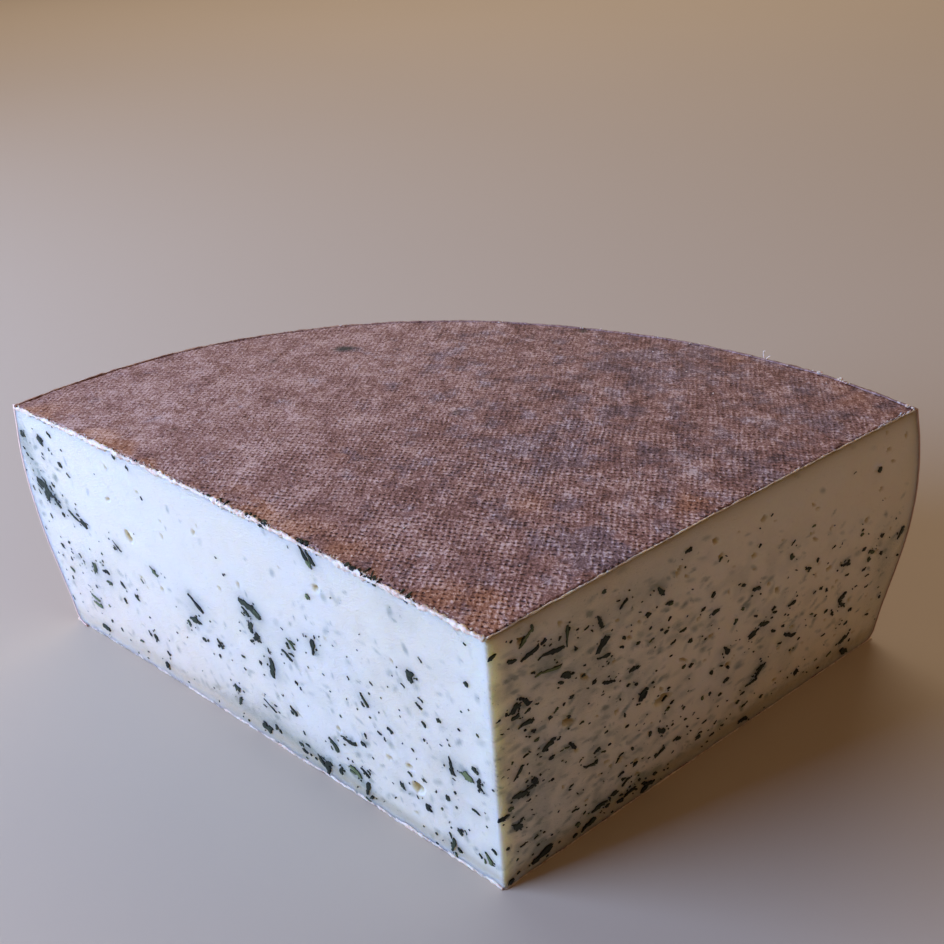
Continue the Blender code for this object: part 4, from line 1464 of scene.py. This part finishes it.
def make_lip(name, side, level, drop, size, ragged, seed):
    """Makes a ragged bead of torn paste along one edge of a cut."""
    length = cut_length(side, level)
    shares = np.linspace(0.002, 0.998, int(length / LIP_STEP))
    flat = cut_points(side, shares, level)
    rise = level * top_height(flat[:, 0], flat[:, 1]) - drop
    out, run, rings = -np.array(cut_line(side, level)[2]), shares * length, []
    for index in range(LIP_CORNERS + 1):
        turn = math.tau * index / LIP_CORNERS
        spin = np.full(len(run), index % LIP_CORNERS) * 0.0009
        lumps = clouds(run, spin, ((1.0, 0.0007, seed), (0.8, 0.0028, seed + 1)))
        reach = size * np.clip(1.0 + ragged * lumps, 0.15, 2.2)
        ring = flat + out * (reach * math.cos(turn) * 0.55)[:, None]
        rings.append(np.column_stack([ring, rise + reach * math.sin(turn)]))
    piece, _, _ = add_grid(name, np.array(rings))
    weld_and_cap(piece, LIP_WELD)
    return piece


def make_lips():
    """Makes the lips: crumbly along the left top edge, thin along the other edges."""
    finish = lip_finish()
    for row in LIPS:
        finish_piece(make_lip(*row), finish)


# Stage

# Floor: width, and the two tones that drift over it
FLOOR_SIZE = 3.8
FLOOR_TONES = ((0.57, 0.475, 0.345), (0.61, 0.51, 0.375))

# Lamps: name, place, size, power and colour, and the point that they look at
LAMPS = (("window", (-0.90, -0.16, 0.36), (0.6, 0.5), 21.2, (0.40, 0.555, 1.0)),
         ("room", (0.62, -0.16, 0.30), (0.3, 0.3), 0.24, (1.0, 0.64, 0.46)),
         ("back", (0.0, 1.7, 1.4), (2.4, 1.0), 19.5, (1.0, 0.87, 0.76)))
LAMP_AIM = Vector((0.0, 0.0, 0.04))

# Light of the room all round, its strength, and the backdrop that the camera sees
ROOM_LIGHT = (1.0, 0.60, 0.32)
ROOM_STRENGTH = 0.119
BACKDROP = (0.36, 0.32, 0.28)


def make_floor():
    """Adds a plain pale floor."""
    floor = new_object(MESH.primitive_plane_add, size=FLOOR_SIZE)
    floor.name = "floor"
    skin = Finish("pale floor")
    colour = skin.mix(skin.noise(0.6, 2.0), *FLOOR_TONES)
    floor.data.materials.append(skin.set(Base_Color=colour, Roughness=0.8))


def add_lamp(name, place, size, power, colour):
    """Adds a large soft lamp that looks at the middle of the wedge."""
    lamp = bpy.data.lights.new(name, "AREA")
    lamp.shape = "RECTANGLE"
    lamp.size, lamp.size_y = size
    lamp.energy = power
    lamp.color = colour
    turn = (LAMP_AIM - Vector(place)).to_track_quat("-Z", "Y").to_matrix().to_4x4()
    link_object(name, lamp).matrix_world = Matrix.Translation(place) @ turn


def light_stage():
    """Lights the wedge as shown: cool and strong from the left, warm and dim from the right."""
    for row in LAMPS:
        add_lamp(*row)
    world = bpy.data.worlds.new("studio")
    world.use_nodes = True
    studio = Nodes(world.node_tree)
    dim = studio.tree.nodes["Background"]
    studio.put(dim.inputs["Color"], ROOM_LIGHT)
    studio.put(dim.inputs["Strength"], ROOM_STRENGTH)
    seen = studio.node("ShaderNodeBackground", None, {"Color": BACKDROP})
    straight = studio.node("ShaderNodeLightPath").outputs["Is Camera Ray"]
    either = studio.node("ShaderNodeMixShader", None, {
        0: straight, 1: dim.outputs["Background"], 2: seen.outputs["Background"]})
    studio.put(studio.tree.nodes["World Output"].inputs["Surface"], either.outputs["Shader"])
    bpy.context.scene.world = world
    bpy.context.scene.view_settings.view_transform = "Standard"


def place_camera():
    """Sets the camera to the photograph's place, aim, roll and focal length."""
    aim = Vector((0.0, math.cos(EYE_PITCH), -math.sin(EYE_PITCH)))
    right = Vector((1.0, 0.0, 0.0))
    up = right.cross(aim)
    rolled = right * math.cos(EYE_ROLL) + up * math.sin(EYE_ROLL)
    upright = up * math.cos(EYE_ROLL) - right * math.sin(EYE_ROLL)
    turn = Matrix((rolled, upright, -aim)).transposed().to_4x4()
    camera = bpy.data.cameras.new("camera")
    camera.sensor_width = SENSOR
    camera.lens = FOCAL_PIXELS / FRAME_PIXELS * SENSOR
    camera.clip_start = 0.01
    holder = link_object("camera", camera)
    holder.matrix_world = Matrix.Translation(EYE + SHIFT) @ turn
    bpy.context.scene.camera = holder


def build():
    """Builds every piece of the wedge and the stage round it."""
    draw = random.Random(SEED)
    bits, faint, eyes = place_bits(draw), place_faint(draw), place_eyes(draw)
    make_paste((bits, faint, eyes))
    make_rind_top()
    make_rind_side()
    make_rind_foot()
    make_herb(bits, draw)
    make_lips()
    make_crumbs(draw)
    make_fibres()
    make_floor()
    light_stage()
    place_camera()


build()
